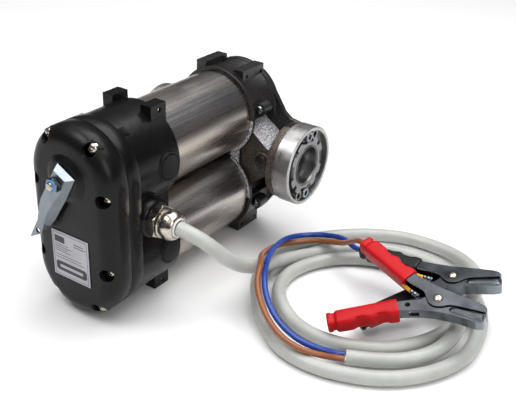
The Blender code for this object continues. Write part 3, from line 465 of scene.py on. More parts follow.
def lathe(profile, centre, axis="y", segs=96, phase=0.0):
    """A solid turned from a closed profile of (radius, place along the axis)."""
    bm = bmesh.new()
    rings = []
    for r, t in profile:
        ring = []
        for k in range(1 if r < 1e-6 else segs):
            spot = put(axis, *polar(r, 2 * pi * k / segs + phase), t)
            ring.append(bm.verts.new(Vector(centre) + Vector(spot)))
        rings.append(ring)
    for one, two in zip(rings, rings[1:] + rings[:1]):
        for k in range(segs):
            m = (k + 1) % segs
            loop = [one[k % len(one)], one[m % len(one)], two[m % len(two)], two[k % len(two)]]
            loop = list(dict.fromkeys(loop))
            if len(loop) > 2:
                bm.faces.new(loop)
    bmesh.ops.recalc_face_normals(bm, faces=bm.faces)
    return bm


def rod(centre, r, t0, t1, axis="y", segs=40):
    """A solid cylinder, turned a little by its radius so that coaxial facets don't line up."""
    return lathe([(0, t0), (r, t0), (r, t1), (0, t1)], centre, axis, segs, 0.05 + 0.017 * (r % 9.0))


def box(x, y, z):
    return prism([(x[0], z[0]), (x[1], z[0]), (x[1], z[1]), (x[0], z[1])], y[0], y[1])


def flip(profile, sx):
    return [(r, sx * t) for r, t in profile]


class Steps(list):
    """Boolean steps for combine, in order."""

    def add(self, tool):
        self.append(("UNION", tool))

    def cut(self, tool):
        self.append(("DIFFERENCE", tool))


def bored(base, *tools):
    """The base with each tool cut out of it."""
    return combine(base, [("DIFFERENCE", tool) for tool in tools])


def scratch(bm):
    obj = new_object("scratch", new_mesh("scratch", bm))
    obj.hide_render = True
    obj.display_type = "WIRE"
    return obj


def combine(base, steps):
    """Exact Boolean steps, each (operation, bmesh), on a base bmesh; returns the resulting bmesh."""
    body = scratch(base)
    for operation, tool_bm in steps:
        tool = scratch(tool_bm)
        mod = body.modifiers.new("step", "BOOLEAN")
        mod.operation = operation
        mod.solver = "EXACT"
        mod.object = tool
        bpy.context.view_layer.update()
        graph = bpy.context.evaluated_depsgraph_get()
        result = bpy.data.meshes.new_from_object(body.evaluated_get(graph))
        body.modifiers.clear()
        body.data = result
        bpy.data.objects.remove(tool, do_unlink=True)
    bm = bmesh.new()
    bm.from_mesh(body.data)
    bpy.data.objects.remove(body, do_unlink=True)
    bmesh.ops.remove_doubles(bm, verts=bm.verts, dist=WELD)
    bmesh.ops.dissolve_degenerate(bm, edges=bm.edges, dist=WELD)
    return bm


def moved(bm, matrix):
    bmesh.ops.transform(bm, matrix=matrix, verts=bm.verts)
    return bm


def join(*parts):
    """Several closed bmeshes in one."""
    out = bmesh.new()
    for part in parts:
        mesh = new_mesh("scratch", part)
        out.from_mesh(mesh)
        bpy.data.meshes.remove(mesh)
    return out


# ---- cords
CABLE_R, CORE_R = 5.5, 2.3
CABLE_ROUTE = [
    (70.0, -56.4, 77.0), (80.5, -53.6, 73.0), (89, -48.6, 65.8), (95.5, -40.5, 56.0), (97.5, -29, 46.5),
    (95.5, -14, 37.0), (91.5, 3, 26.5), (88.5, 20, 18.0), (88.5, 38, 12.5), (92, 56, 9.0), (100, 75, 6.5),
    (112, 94, 5.7), (128, 111, 5.6), (148, 123, 5.6), (170, 128, 5.6), (192, 126.5, 5.6), (215, 117, 5.6),
    (236, 101, 5.6), (251, 78, 5.6), (259, 50, 5.6), (259, 20, 5.6), (247, -9, 5.6), (227, -31, 5.6),
    (203, -44.5, 5.6), (176, -51, 5.6), (150, -48, 5.6), (126, -33, 5.6), (104, -11, 5.6), (86, 14, 5.6),
    (76, 40, 5.6), (75, 68, 5.6), (85, 95, 5.6), (103, 119, 5.6), (125, 138, 5.7), (150, 150.5, 6.0),
    (175, 153, 6.7), (199, 147.5, 8.4), (219, 134, 11.1), (232, 115, 14.8), (238.5, 94, 16.5),
    (241, 72, 13.2), (240, 48, 9.8), (231, 23, 7.4), (211, -2, 6.0), (181, -18, 5.7), (150, -19, 5.6),
    (125, -6, 5.6), (107, 14, 5.6), (101, 37, 5.6), (106, 60, 5.6), (119, 81, 5.7), (138, 96, 5.9),
    (160, 103, 6.5), (184, 102, 8.2), (206, 93, 11.5), (225, 78, 16.8), (239.5, 57, 22.1), (247, 36, 17.3),
    (244, 13, 11.9), (231, -6, 8.5), (213, -19, 7.0), (192, -29.5, 6.4)
]
BROWN_ROUTE = [
    (188.0, -34.1, 6.5), (179.5, -43.0, 10.6), (167.3, -50.3, 14.4), (150.2, -49.5, 17),
    (134.5, -43, 20.7), (120.8, -34, 26.6), (109.5, -22.4, 33), (102, -7.2, 37.4), (93, 7.2, 34.6),
    (86.1, 22.2, 28.4), (81.5, 38.2, 22.8), (79.7, 54.7, 17.6), (83.3, 71.1, 13.5), (95.5, 83, 14.3),
    (112.3, 84.0, 18.8), (127.5, 78.5, 26.0), (139.6, 69.0, 36.5), (150.6, 59.6, 45.2),
]
BLUE_ROUTE = [
    (185.9, -29.6, 6.5), (176.0, -37.6, 10.8), (163.7, -43.0, 14.6), (147.2, -40.6, 17.4),
    (132.1, -34.5, 22), (119.6, -25.7, 29.1), (109.6, -12.8, 33.3), (101.2, 2, 32.5), (93.9, 17.1, 30.2),
    (87.8, 32.6, 27), (83.3, 48.5, 23.4), (81.2, 65, 19.8), (85.5, 80.9, 16.8), (98.5, 90.7, 17.6),
    (114.8, 90.0, 22), (128.0, 83.5, 25.8), (139.2, 77.2, 26.2),
]


def smooth_curve(route, step):
    """Points about `step` apart on a centripetal Catmull-Rom curve through the route."""
    pts = [Vector(p) for p in route]
    pts = [2 * pts[0] - pts[1]] + pts + [2 * pts[-1] - pts[-2]]
    fine = []
    for p0, p1, p2, p3 in zip(pts, pts[1:], pts[2:], pts[3:]):
        t1 = sqrt((p1 - p0).length)
        t2 = t1 + sqrt((p2 - p1).length)
        t3 = t2 + sqrt((p3 - p2).length)
        for k in range(16):
            t = t1 + (t2 - t1) * k / 16
            a1 = p0.lerp(p1, t / t1)
            a2 = p1.lerp(p2, (t - t1) / (t2 - t1))
            a3 = p2.lerp(p3, (t - t2) / (t3 - t2))
            b1, b2 = a1.lerp(a2, t / t2), a2.lerp(a3, (t - t1) / (t3 - t1))
            fine.append(b1.lerp(b2, (t - t1) / (t2 - t1)))
    fine.append(pts[-2])
    total = sum((b - a).length for a, b in zip(fine, fine[1:]))
    count = round(total / step)
    out, walked, target = [fine[0]], 0.0, total / count
    for a, b in zip(fine, fine[1:]):
        seg = (b - a).length
        while walked + seg >= target - 1e-9 and len(out) < count:
            out.append(a.lerp(b, (target - walked) / seg))
            target += total / count
        walked += seg
    out.append(fine[-1])
    return out


def cord(name, route, radius, mat, node):
    """A round cord as one open curve; route in millimetres. Returns the piece and its length in metres."""
    pts = [(p + SHIFT) * MM for p in smooth_curve(route, 4.0)]
    curve = bpy.data.curves.new(name, "CURVE")
    curve.dimensions = "3D"
    curve.bevel_depth = radius * MM
    curve.bevel_resolution = 6
    curve.use_fill_caps = True
    spline = curve.splines.new("POLY")
    spline.points.add(len(pts) - 1)
    for point, p in zip(spline.points, pts):
        point.co = (*p, 1.0)
    spline.use_smooth = True
    curve.materials.append(MATS[mat])
    obj = new_object(name, curve)
    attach(obj, "pump")
    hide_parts(node)
    return obj, sum((b - a).length for a, b in zip(pts, pts[1:]))


cable, cable_len = cord("lead", [(63.3, -56.5, 77.6)] + CABLE_ROUTE, CABLE_R,
                        "sheath", "power_cable")
brown, brown_len = cord("lead_core_brown", [(192.35, -32.0, 6.4)] + BROWN_ROUTE + [(156.6, 57.25, 45.6)],
                        CORE_R, "brown", "core_brown")
blue, blue_len = cord("lead_core_blue", [(190.15, -27.6, 6.4)] + BLUE_ROUTE + [(145.5, 76.5, 26.6)], CORE_R,
                      "blue", "core_blue")

# ---- front cover
SCREW_SPOTS = []
for sx in SIDES:
    for sz in SIDES:
        SCREW_SPOTS.append((20.4 * sx, MID_Z + 64.2 * sz))
        SCREW_SPOTS.append((32.3 * sx, MID_Z + 29.7 * sz))

BAND_R = 40.0           # outer radius of the cover and of the housing's band
BAND_BORE = 36.8        # inner radius of both
CASE_R = 35.7           # inner radius of the housing's round lobes


def stadium(r, segs=96):
    """The outline round both motor axes."""
    pts = []
    for base, z in ((0.0, AXIS_Z["upper"]), (pi, AXIS_Z["lower"])):
        for k in range(segs // 2 + 1):
            x, up = polar(r, base + pi * k / (segs // 2))
            pts.append((x, z + up))
    return pts


def loft(levels, segs=96):
    """A stack of stadium outlines, each a radius and its place along Y."""
    return skin([[(x, y, z) for x, z in stadium(r, segs)] for r, y in levels])


def rounded(r_face, r_side, y_face, y_side, count):
    """Levels of a quarter-round edge from the face to the side."""
    out = []
    for k in range(count + 1):
        a = 0.5 * pi * k / count
        out.append((r_face + (r_side - r_face) * sin(a), y_side - (y_side - y_face) * cos(a)))
    return out


def screw_bosses(r, y0, y1, inset=1.0):
    """The screw bosses, held just inside the outline of the band."""
    rods = join(*[rod((x * inset, 0, z), r, y0, y1, segs=24) for x, z in SCREW_SPOTS])
    return combine(rods, [("INTERSECT", prism(stadium(BAND_R - 0.07), y0 - 1, y1 + 1))])


outer = rounded(27.0, BAND_R, -103.5, -90.5, 12) + [(BAND_R, -83.4), (BAND_R - 0.3, -83.0)]
inner = rounded(25.0, BAND_BORE, -100.3, -91.5, 4) + [(BAND_BORE, -78.0)]
hump = [(0, -106.5), (12.0, -106.5), (14.2, -106.2), (15.6, -105.4), (16.6, -104.3), (18.2, -103.6),
        (19.0, -102.5), (0, -102.5)]
steps = Steps()
steps.cut(loft(inner, 48))
steps.add(lathe(hump, PIVOT, segs=72))
steps.cut(rod(PIVOT, 4.6, -112, -90))
steps.add(screw_bosses(6.3, -95.0, -83.2))
for x, z in SCREW_SPOTS:
    steps.cut(rod((x, 0, z), 4.95, -110, -93.5))
    steps.cut(rod((x, 0, z), 2.4, -110, -70, segs=16))
piece("cover_shell", combine(loft(outer), steps), "cover", stands=["front_cover"],
      smooth=40)

# pan-head screws with a cross recess
for k, (x, z) in enumerate(SCREW_SPOTS, 1):
    head = [(0, -98.0), (1.6, -97.95), (2.9, -97.55), (3.9, -96.7), (4.4, -95.4), (4.5, -93.8), (1.9, -93.8),
            (1.9, -76.0), (0, -76.0)]
    spot = Matrix.Translation((x, 0, z))
    recess = []
    for w, h in ((2.1, 0.42), (0.42, 2.1)):
        tool = box((x - w, x + w), (-99, -96.3), (z - h, z + h))
        recess.append(moved(tool, spot @ Matrix.Rotation(0.4 + 1.1 * k, 4, "Y") @ spot.inverted()))
    piece(f"cover_screw_pan_{k}", bored(lathe(head, (x, 0, z), segs=32), *recess), "nickel",
          stands=[f"cover_screw_{k}"])

# label: film, a thin frame and plain rules without any lettering
LABEL_FACE = -104.3
piece("label_sheet", box((-18.2, 18.2), (LABEL_FACE, -103.8), (32.6, 70.8)), "label",
      stands=["label_plate"], bevel=0.2)


def bar(x0, x1, z0, z1):
    return box((x0, x1), (-104.36, LABEL_FACE), (z0, z1))


frame_rules = [bar(-16.8, 16.8, 34.0, 34.3), bar(-16.8, 16.8, 69.1, 69.4),
               bar(-16.8, -16.5, 34.3, 69.1), bar(16.5, 16.8, 34.3, 69.1)]
blocks = [bar(-15.2, -5.5, 61.6, 66.8), bar(-14.2, 14.2, 37.4, 45.4), bar(-15.4, -14.2, 38.4, 44.4),
          bar(14.2, 15.4, 38.4, 44.4), bar(4.0, 15.2, 62.2, 62.8), bar(4.0, 13.0, 64.2, 64.8)]
text_rules = [bar(-15.2, x1, z, z + 0.45) for x1, z in ((-2.0, 59.4), (1.0, 57.6), (-3.0, 55.8), (0.0, 54.0),
                                                        (10.5, 50.6), (13.2, 48.4))]
piece("label_print", join(*frame_rules, *blocks, *text_rules), "ink")
piece("label_banner_bar", box((-11.5, 11.5), (-104.44, -104.36), (40.2, 42.6)), "label")

# ---- brush and terminal housing
side_pairs = [(sx, key) for sx in SIDES for key in AXIS_Z]
TAB_Y = -30.4
TAB_Z = {"top": 150.7, "bottom": 4.5}


def span(sx, a, b):
    """The range from a to b on the side sx, in rising order."""
    return sorted((sx * a, sx * b))


def waist(half_x, half_z):
    """The rectangle between the two motors."""
    low, high = MID_Z - half_z, MID_Z + half_z
    return [(half_x, low), (half_x, high), (-half_x, high), (-half_x, low)]


def brush_rod(sx, key, r, lo, hi, segs):
    """A round solid on a brush's axis."""
    return rod((0, BRUSH_Y, AXIS_Z[key]), r, *span(sx, lo, hi), "x", segs)


base = loft([(39.7, -82.7), (BAND_R, -82.3), (BAND_R, -71.0), (39.8, -70.6), (39.3, -70.4), (38.0, -70.2)])
steps = Steps()
lobe = [(0, -74.5), (38.9, -74.5), (38.9, -26.3), (38.1, -25.5), (0, -25.5)]
for z in AXIS_Z.values():
    steps.add(lathe(lobe, (0, 0, z), segs=96, phase=0.03))
steps.add(prism(waist(27.0, 20.0), -74.0, -25.9))
for z in ((MID_Z + 60.0, 155.4), (0.0, MID_Z - 60.0)):
    for sx in SIDES:
        steps.add(box(span(sx, 13.5, 23.4), (-39.8, -23.3), z))
boss = [(0, 20.0), (20.0, 20.0), (17.6, 30.0), (15.8, 35.5), (14.8, 39.5), (13.6, 41.2), (12.6, 41.6),
        (0, 41.6)]
steps.add(lathe(boss, GLAND, "x", 56))
for sx, key in side_pairs:
    steps.add(brush_rod(sx, key, 11.2, 30.0, 39.3, 48))
steps.cut(prism(stadium(BAND_BORE, 48), -85.0, -72.0))
steps.cut(prism(waist(23.5, 12), -72.4, -65.5))
for z in AXIS_Z.values():
    steps.cut(rod((0, 0, z), CASE_R, -72.4, -65.5, segs=64))
steps.cut(prism(waist(23.5, 12), -61.1, -23.0))
for z in AXIS_Z.values():
    steps.cut(rod((0, 0, z), CASE_R, -61.5, -19.5, segs=64))
    steps.cut(rod((0, 0, z), 4.5, -80, -55, segs=24))
for sx, key in side_pairs:
    steps.add(brush_rod(sx, key, 8.2, 15.5, 37.0, 28))
for sx, key in side_pairs:
    steps.cut(brush_rod(sx, key, 6.4, 12.0, 50.0, 28))
    steps.cut(brush_rod(sx, key, 9.9, 36.0, 50.0, 48))
steps.cut(rod(GLAND, 9.3, 16.0, 50.0, "x", 32))
steps.add(screw_bosses(5.6, -82.4, -64.5, 0.985))
for x, z in SCREW_SPOTS:
    steps.cut(rod((x, 0, z), 2.2, -84, -69.5, segs=16))
for sx in SIDES:
    for z in TAB_Z.values():
        steps.cut(rod((0, TAB_Y, z), 1.9, *span(sx, 15.0, 30.0), "x", 24))
piece("housing_shell", combine(base, steps), "housing", stands=["brush_housing"],
      smooth=40)

for sx, tag in zip(SIDES, ("right", "left")):
    for word, z in TAB_Z.items():
        pin = flip([(0, 16.0), (1.7, 16.0), (1.7, 21.6), (1.3, 22.3), (0, 22.6)], sx)
        piece(f"tab_pin_{word}_{tag}", lathe(pin, (0, TAB_Y, z), "x", 24), "nickel")

for sx, key in side_pairs:
    tag = "right" if sx > 0 else "left"
    cap = [(0, 36.3), (9.5, 36.3), (9.5, 39.1), (9.35, 39.5), (9.0, 39.78), (8.4, 39.9), (7.4, 40.0),
           (0, 40.0)]
    piece(f"brush_cap_disc_{tag}_{key}", lathe(flip(cap, sx), (0, BRUSH_Y, AXIS_Z[key]), "x", 64), "cap",
          stands=[f"brush_cap_{tag}_{key}"])

# ---- lever switch
LEVER_ANGLE = radians(28.0)
LEVER_FRONT, LEVER_BACK = -113.0, -107.1


def lever_frame(p):
    s, c = sin(LEVER_ANGLE), cos(LEVER_ANGLE)
    along, across, y = p
    return (-s * along + c * across, y, PIVOT_Z - c * along - s * across)


def lever_loft(front, back, rear_faces=None):
    """Closed solid between two outlines of (along, across, y) with matching corners."""
    return skin([[lever_frame(p) for p in outline] for outline in (front, back)], rear_faces)


F, R, T = LEVER_FRONT, LEVER_BACK, LEVER_FRONT + 1.6       # front, rear and the sheet's inner face
front = [(-8.4, -5.5, F), (-8.4, 6.0, F), (3.0, 6.4, F), (27.5, 2.4, F), (40.0, 3.6, F), (46.0, 4.5, F),
         (49.3, 5.0, F), (61.5, -3.0, F), (46.0, -2.7, F), (41.0, -2.8, F), (31.0, -5.4, F), (22.0, -6.8, F),
         (4.0, -5.8, F)]
rear = [(-10.2, -8.5, R), (-10.2, 9.5, R), (10.0, 9.3, R), (35.0, 7.4, R), (43.6, 5.9, R), (46.0, 5.4, T),
        (49.3, 5.0, T), (61.5, -3.0, T), (46.0, -3.6, T), (43.0, -5.0, R), (38.0, -8.5, R), (29.0, -9.5, R),
        (8.0, -9.0, R)]
inner = [(-6.9, -3.9, T), (-6.9, 4.4, T), (3.0, 4.8, T), (26.0, 1.0, T), (35.0, 1.3, T), (35.0, -2.0, T),
         (30.0, -3.8, T), (22.0, -5.2, T), (4.0, -4.2, T)]
mouth = [(-8.8, -7.1, R + 1), (-8.8, 8.1, R + 1), (9.0, 7.9, R + 1), (34.0, 6.0, R + 1), (41.0, 4.3, R + 1),
         (41.0, -3.6, R + 1), (37.0, -7.0, R + 1), (28.5, -8.1, R + 1), (8.0, -7.6, R + 1)]
hole = lever_frame((50.0, 1.0, 0.0))
base = lever_loft(front, rear, [(0, 1, 2, 3, 4, 9, 10, 11, 12), (4, 5, 8, 9), (5, 6, 7, 8)])
lever = bored(base, lever_loft(inner, mouth), rod(PIVOT, 3.4, -125, -90, segs=40),
              rod((hole[0], 0, hole[2]), 2.0, -125, -105, segs=36))
piece("lever_channel", lever, "zinc", "switch_lever_set", stands=["switch_lever"], smooth=18, bevel=0.5)


def hex_ring(r, phase=0.0, centre=(0.0, 0.0)):
    corners = [polar(r, radians(60 * k) + phase) for k in range(6)]
    return [(u + centre[0], w + centre[1]) for u, w in corners]


def hex_nut(r, y0, y1, centre, phase, chamfer, bore):
    """A hexagon nut along Y, chamfered at y0."""
    base = prism(hex_ring(r, phase, (centre[0], centre[2])), y0, y1)
    wide = r + 0.05
    cone = [(0, y0 - 1), (r - chamfer * 1.6, y0 - 0.02), (wide, y0 + chamfer), (wide, y1 + 1), (0, y1 + 1)]
    return combine(base, [("INTERSECT", lathe(cone, centre, segs=48)),
                          ("DIFFERENCE", rod(centre, bore, y0 - 9, y1 + 9, segs=32))])


piece("lever_nut_hex", hex_nut(5.75, -117.0, -113.35, PIVOT, 0.35, 0.7, 3.0), "zinc",
      "switch_lever_set", stands=["lever_nut"])
collar = [(3.0, -117.75), (4.2, -117.75), (4.65, -117.4), (4.7, -116.9), (3.0, -116.9)]
piece("lever_nut_insert", lathe(collar, PIVOT, segs=40), "nylon", "switch_lever_set")
stud = [(0, -119.5), (2.3, -119.5), (2.85, -119.0)]
for k in range(8):
    stud += [(2.85, -118.8 + 0.5 * k), (2.6, -118.55 + 0.5 * k)]
stud += [(2.9, -115.0), (2.9, -107.0), (4.2, -107.0), (4.2, -97.5), (9.0, -97.5), (9.0, -88.0), (0, -88.0)]
piece("lever_stud", lathe(stud, PIVOT, segs=40), "nickel", "switch_lever_set", stands=["switch_shaft"])

# ---- cable gland
hexagon = prism(hex_ring(13.85, radians(30), GLAND[1:]), 42.0, 48.6, "x")
chamfers = [(0, 41.0), (12.6, 41.95), (13.9, 43.1), (13.9, 47.4), (12.6, 48.65), (0, 49.5)]
steps = Steps([("INTERSECT", lathe(chamfers, GLAND, "x", 64))])
steps.add(rod(GLAND, 9.0, 30.0, 43.0, "x", 48))
steps.add(rod(GLAND, 9.6, 47.0, 52.0, "x", 48))
steps.cut(rod(GLAND, 6.6, 20.0, 70.0, "x", 40))
piece("gland_hex", combine(hexagon, steps), "nickel", stands=["gland_body"])
dome = [(9.9, 49.0), (11.2, 49.0), (11.5, 49.3), (11.5, 50.4), (10.7, 50.9), (10.7, 51.7), (11.4, 52.2),
        (11.5, 53.0), (11.5, 54.6), (11.3, 56.4), (10.9, 58.0), (10.3, 59.6), (9.6, 60.8), (8.9, 61.6),
        (8.2, 62.0), (7.6, 61.8), (7.6, 58.0), (9.9, 56.0)]
flats = []
for k in range(6):
    turn = Matrix.Translation(GLAND) @ Matrix.Rotation(radians(60 * k + 30), 4, "X")
    flats.append(moved(box((52.3, 57.0), (10.9, 16.0), (-9.0, 9.0)), turn))
piece("gland_dome_nut", bored(lathe(dome, GLAND, "x", 72), *flats), "nickel", stands=["gland_nut"])
seal = [(5.75, 53.0), (9.5, 53.0), (9.5, 55.5), (7.3, 57.8), (7.3, 62.4), (6.9, 63.0), (6.2, 63.0),
        (5.75, 62.5)]
piece("gland_seal_ring", lathe(seal, GLAND, "x", 56), "white", stands=["gland_seal"])

# ---- motor tubes
for key, z in AXIS_Z.items():
    tube = [(32.8, -29.5), (34.8, -29.5), (35.0, -29.3), (35.0, 73.0), (34.7, 73.3), (32.8, 73.3)]
    piece(f"motor_shell_{key}", lathe(tube, (0, 0, z), segs=160), f"tube_{key}", stands=[f"motor_tube_{key}"],
          smooth=20)

# ---- pump body casting


def side_outline(sx, half):
    """An outline on the side sx, from its upper half given from the middle outwards."""
    return [(sx * x, MID_Z + z) for x, z in half] + [(sx * x, MID_Z - z) for x, z in reversed(half)]


ARM = [(18.0, 36.0), (26.0, 31.4), (34.0, 25.1), (50.0, 12.4), (64.4, 12.4)]
PLATE = [(16.0, 62.0), (31.0, 58.0), (36.8, 50.0), (41.5, 43.0), (46.6, 35.6), (52.6, 31.3), (63.0, 29.5)]
PORT = (0, PORT_Y, MID_Z)
PLUG = (45.5, 0, MID_Z)
PORT_BOLT_RISE = 26.0   # from the port's axis to a flange bolt
EAR_SPOTS = {"upper": (38.0, 0, MID_Z + 43.5), "lower": (38.0, 0, MID_Z - 43.5)}


def port_bolt(sz):
    return (0, PORT_Y, MID_Z + PORT_BOLT_RISE * sz)


lobe = [(0, 69.9), (37.9, 69.9), (38.3, 70.3), (38.3, 72.5), (37.9, 73.1), (36.6, 73.4), (36.2, 74.2),
        (36.2, 102.2), (36.6, 103.1), (37.8, 103.5), (38.2, 104.0), (38.2, 107.6), (37.3, 108.5),
        (0, 108.5)]
base = prism(waist(25.0, 22.0), 70.3, 107.9)
steps = Steps()
for z in AXIS_Z.values():
    steps.add(lathe(lobe, (0, 0, z), segs=96))
neck = [(0, 32.0), (13.5, 34.0), (16.4, 45.0), (18.0, 49.5), (20.0, 52.5), (22.4, 54.4), (25.5, 55.9),
        (30.4, 57.4), (32.2, 58.2), (33.0, 59.4), (33.0, 64.7), (32.5, 65.2), (0, 65.2)]
for sx in SIDES:
    steps.add(prism(side_outline(sx, ARM), 74.5, 107.1))
    steps.add(prism(side_outline(sx, PLATE), 103.9, 108.2))
    steps.add(lathe(flip(neck, sx), PORT, "x", 88))
for z in ((MID_Z + 58.0, 150.7), (0.0, MID_Z - 58.0)):
    for x in ((11.6, 21.2), (-27.1, -17.2)):
        steps.add(box(x, (77.5, 107.5), z))
plug_boss = [(0, 72.9), (8.0, 72.9), (8.6, 73.5), (8.6, 82.5), (0, 82.5)]
steps.add(lathe(plug_boss, PLUG, segs=56))
for spot in EAR_SPOTS.values():
    steps.add(rod(spot, 5.2, 79.0, 90.0, segs=36))
corner = [(28.6, 29.4), (53.0, 10.0), (57.0, 16.0), (36.0, 36.0), (30.4, 36.0)]
for sx in SIDES:
    for sz in SIDES:
        steps.cut(prism([(sx * x, MID_Z + sz * z) for x, z in corner], 75.0, 103.0))
for z in AXIS_Z.values():
    steps.cut(rod((0, 0, z), 35.3, 60, 73.8, segs=128))
    steps.cut(rod((0, 0, z), 11.4, 70, 82.0, segs=40))
    steps.cut(rod((0, 0, z), 4.5, 70, 95, segs=24))
    steps.cut(rod((0, 0, z), 27.0, 84.0, 112, segs=72))
for sx in SIDES:
    steps.cut(rod(PORT, 12.0, *span(sx, 14.0, 80.0), "x", 48))
    steps.cut(rod(PORT, 17.2, *span(sx, 55.0, 80.0), "x", 56))
    steps.cut(box(span(sx, 10.0, 22.0), (88.0, 100.0), (MID_Z - 22, MID_Z + 22)))
steps.cut(rod(PLUG, 6.2, 60, 86, segs=40))
for z in (144.6, 4.2):
    for y in (83.5, 103.5):
        steps.cut(rod((0, y, z), 1.5, -30, 30, "x", 20))
for sz in SIDES:
    for sx in SIDES:
        steps.cut(rod(port_bolt(sz), 3.0, *span(sx, 57.5, 80.0), "x", 20))
casting = piece("body_casting", combine(base, steps), "casting", stands=["pump_body"], smooth=38)

# pale speckled facets on the arms' slopes: painted highlight of the top light; the lips' front edges: bare
# casting; the arms' fronts and the neck's faces that face upwards and towards the front: brown-black with a
# lighter brown painted sheen
casting.data.materials.append(MATS["bare_and_highlight"])
casting.data.materials.append(MATS["brown_sheen"])
BARE_AND_HIGHLIGHT, BROWN_SHEEN = 1, 2
slope = Vector((19.4, 24.4)).normalized()
for poly in casting.data.polygons:
    n, c = poly.normal, poly.center / MM - SHIFT
    ax, az = abs(c.x), abs(c.z - MID_Z)
    lift = (ax - 28.6) * slope.x + (az - 29.4) * slope.y
    if abs(lift) < 0.25 and abs(n.y) < 0.1 and 28 < ax < 54 and 75 < c.y < 103:
        poly.material_index = BARE_AND_HIGHLIGHT
    elif n.y < -0.9 and c.y < 70.3 and az < 36 and 17 < ax < 50:
        poly.material_index = BARE_AND_HIGHLIGHT
    # painted sheen on the arms' fronts and on the neck's faces that face upwards and towards the front
    elif n.y < -0.9 and 72.5 < c.y < 75.5 and ax > 20 and az < 30:
        poly.material_index = BROWN_SHEEN
    elif ax > 40 and az < 32 and (n.z > 0.15 or n.y < -0.25) and ax < 66:
        poly.material_index = BROWN_SHEEN

ear = [(0, 76.4), (1.6, 76.4), (2.9, 76.9), (3.5, 77.8), (3.6, 78.9), (0, 78.9)]
for word, spot in EAR_SPOTS.items():
    drive = box((spot[0] - 4, spot[0] + 4), (75.5, 77.4), (spot[2] - 0.5, spot[2] + 0.5))
    piece(f"body_screw_{word}", bored(lathe(ear, spot, segs=36), drive), "zinc")

plug = [(0, 71.3), (4.9, 71.3), (5.6, 71.6), (5.9, 72.2), (5.9, 75.6), (3.0, 75.6), (3.0, 74.0), (0, 74.0)]
drive = prism(hex_ring(1.6, centre=(PLUG[0], PLUG[2])), 70.5, 72.2)
piece("bypass_screw_plug", bored(lathe(plug, PLUG, segs=48), drive), "casting", stands=["bypass_plug"])

# ---- rear covers
cover = [(0, 119.5), (10.6, 119.5), (11.5, 118.9), (12.3, 115.6), (13.2, 114.6), (18.0, 114.5),
         (18.6, 113.9), (20.4, 113.9), (21.0, 114.5), (33.4, 114.5), (34.6, 114.1), (35.2, 113.2),
         (35.2, 108.8), (4.6, 108.8), (4.6, 110.0), (0, 110.0)]
head = [(0, 112.45), (3.4, 112.45), (3.6, 112.7), (3.6, 115.3), (3.2, 115.8), (0, 115.8)]
for key, z in AXIS_Z.items():
    spots = [(x, z + up) for x, up in (polar(27.5, radians(45 + 90 * k)) for k in range(4))]
    wells = [rod((x, 0, w), 4.3, 112.4, 118, segs=36) for x, w in spots]
    piece(f"rear_cap_{key}", bored(lathe(cover, (0, 0, z), segs=112), *wells), "casting",
          stands=[f"rear_cover_{key}"], smooth=38)
    for k, (x, w) in enumerate(spots, 1):
        socket = prism(hex_ring(1.9, centre=(x, w)), 113.8, 117.0)
        piece(f"rear_screw_{key}_{k}", bored(lathe(head, (x, 0, w), segs=32), socket), "zinc")

# ---- port flanges
ring = [(13.2, 65.5), (33.4, 65.5), (34.0, 66.1), (34.0, 80.4), (33.4, 81.0), (31.2, 81.0), (30.7, 80.5),
        (30.2, 75.2), (29.6, 74.5), (22.2, 74.5), (21.6, 75.1), (21.2, 78.4), (20.6, 79.1), (17.9, 79.3),
        (17.6, 78.5), (17.1, 78.5), (16.8, 79.6), (16.3, 79.8), (15.9, 79.3),
        (15.5, 77.6), (15.5, 73.0), (14.6, 70.6), (13.4, 67.5)]
pad = [(20.4, -1), (24.4, -0.9), (25.0, -0.6), (25.1, 0), (25.0, 0.6), (24.4, 0.9), (20.4, 1)]
PAD_HALF = radians(11.0)
bolt = [(0, 58.5), (2.4, 58.5), (2.7, 58.9), (2.7, 77.3), (4.5, 77.3), (4.6, 77.5), (4.6, 79.7), (4.2, 80.2),
        (0, 80.2)]


def lug(sz):
    """Where the pin lug beside a port bolt stands."""
    return (0, PORT_Y + 10.2 * sz, MID_Z + 25.3 * sz)


for tag, sx in (("outlet", 1), ("inlet", -1)):
    steps = Steps()
    for a in (-58, -26, 26, 58):
        for far in (0, 180):
            mid = radians(a + far)
            turned = [polar(r, mid + s * PAD_HALF) for r, s in pad]
            steps.add(prism([(u + PORT_Y, w + MID_Z) for u, w in turned], *span(sx, 74.0, 79.2), "x"))
    for sz in SIDES:
        steps.add(rod(port_bolt(sz), 6.6, *span(sx, 73.0, 77.0), "x", 40))
        steps.add(rod(lug(sz), 4.8, *span(sx, 73.0, 79.0), "x", 32))
    for sz in SIDES:
        steps.cut(rod(port_bolt(sz), 5.3, *span(sx, 77.0, 84.0), "x", 40))
        steps.cut(rod(port_bolt(sz), 3.3, *span(sx, 63.0, 83.0), "x", 28))
        steps.cut(rod(lug(sz), 2.6, *span(sx, 68.0, 83.0), "x", 28))
    piece(f"{tag}_port_flange", combine(lathe(flip(ring, sx), PORT, "x", 112), steps), "aluminium",
          stands=[f"{tag}_flange"], smooth=35)
    for word, sz in (("upper", 1), ("lower", -1)):
        spot = port_bolt(sz)
        socket = prism(hex_ring(2.7, 0.3, spot[1:]), *span(sx, 78.0, 82.0), "x")
        piece(f"{tag}_cap_bolt_{word}", bored(lathe(flip(bolt, sx), spot, "x", 36), socket), "zinc",
              stands=[f"{tag}_bolt_{word}"])

# ---- battery clamps, drawn flat: u to the jaw's tip, v across, w along the rivet
HANDLE = (cos(radians(29.0)), sin(radians(29.0)))
UPPER_W, LOWER_W, SHEET = 5.8, 4.5, 1.0       # half widths and the sheet's thickness
PAINTED_DARK_SIDE = 1               # material index of a clamp's flat sides, which get the painted dark reflection


def handle_point(s, t):
    """The (u, v) of a point at s along the handle and t off its middle line."""
    return (-HANDLE[0] * s + HANDLE[1] * t, HANDLE[1] * s + HANDLE[0] * t)


def mirror(outline):
    return [(u, -v) for u, v in outline]


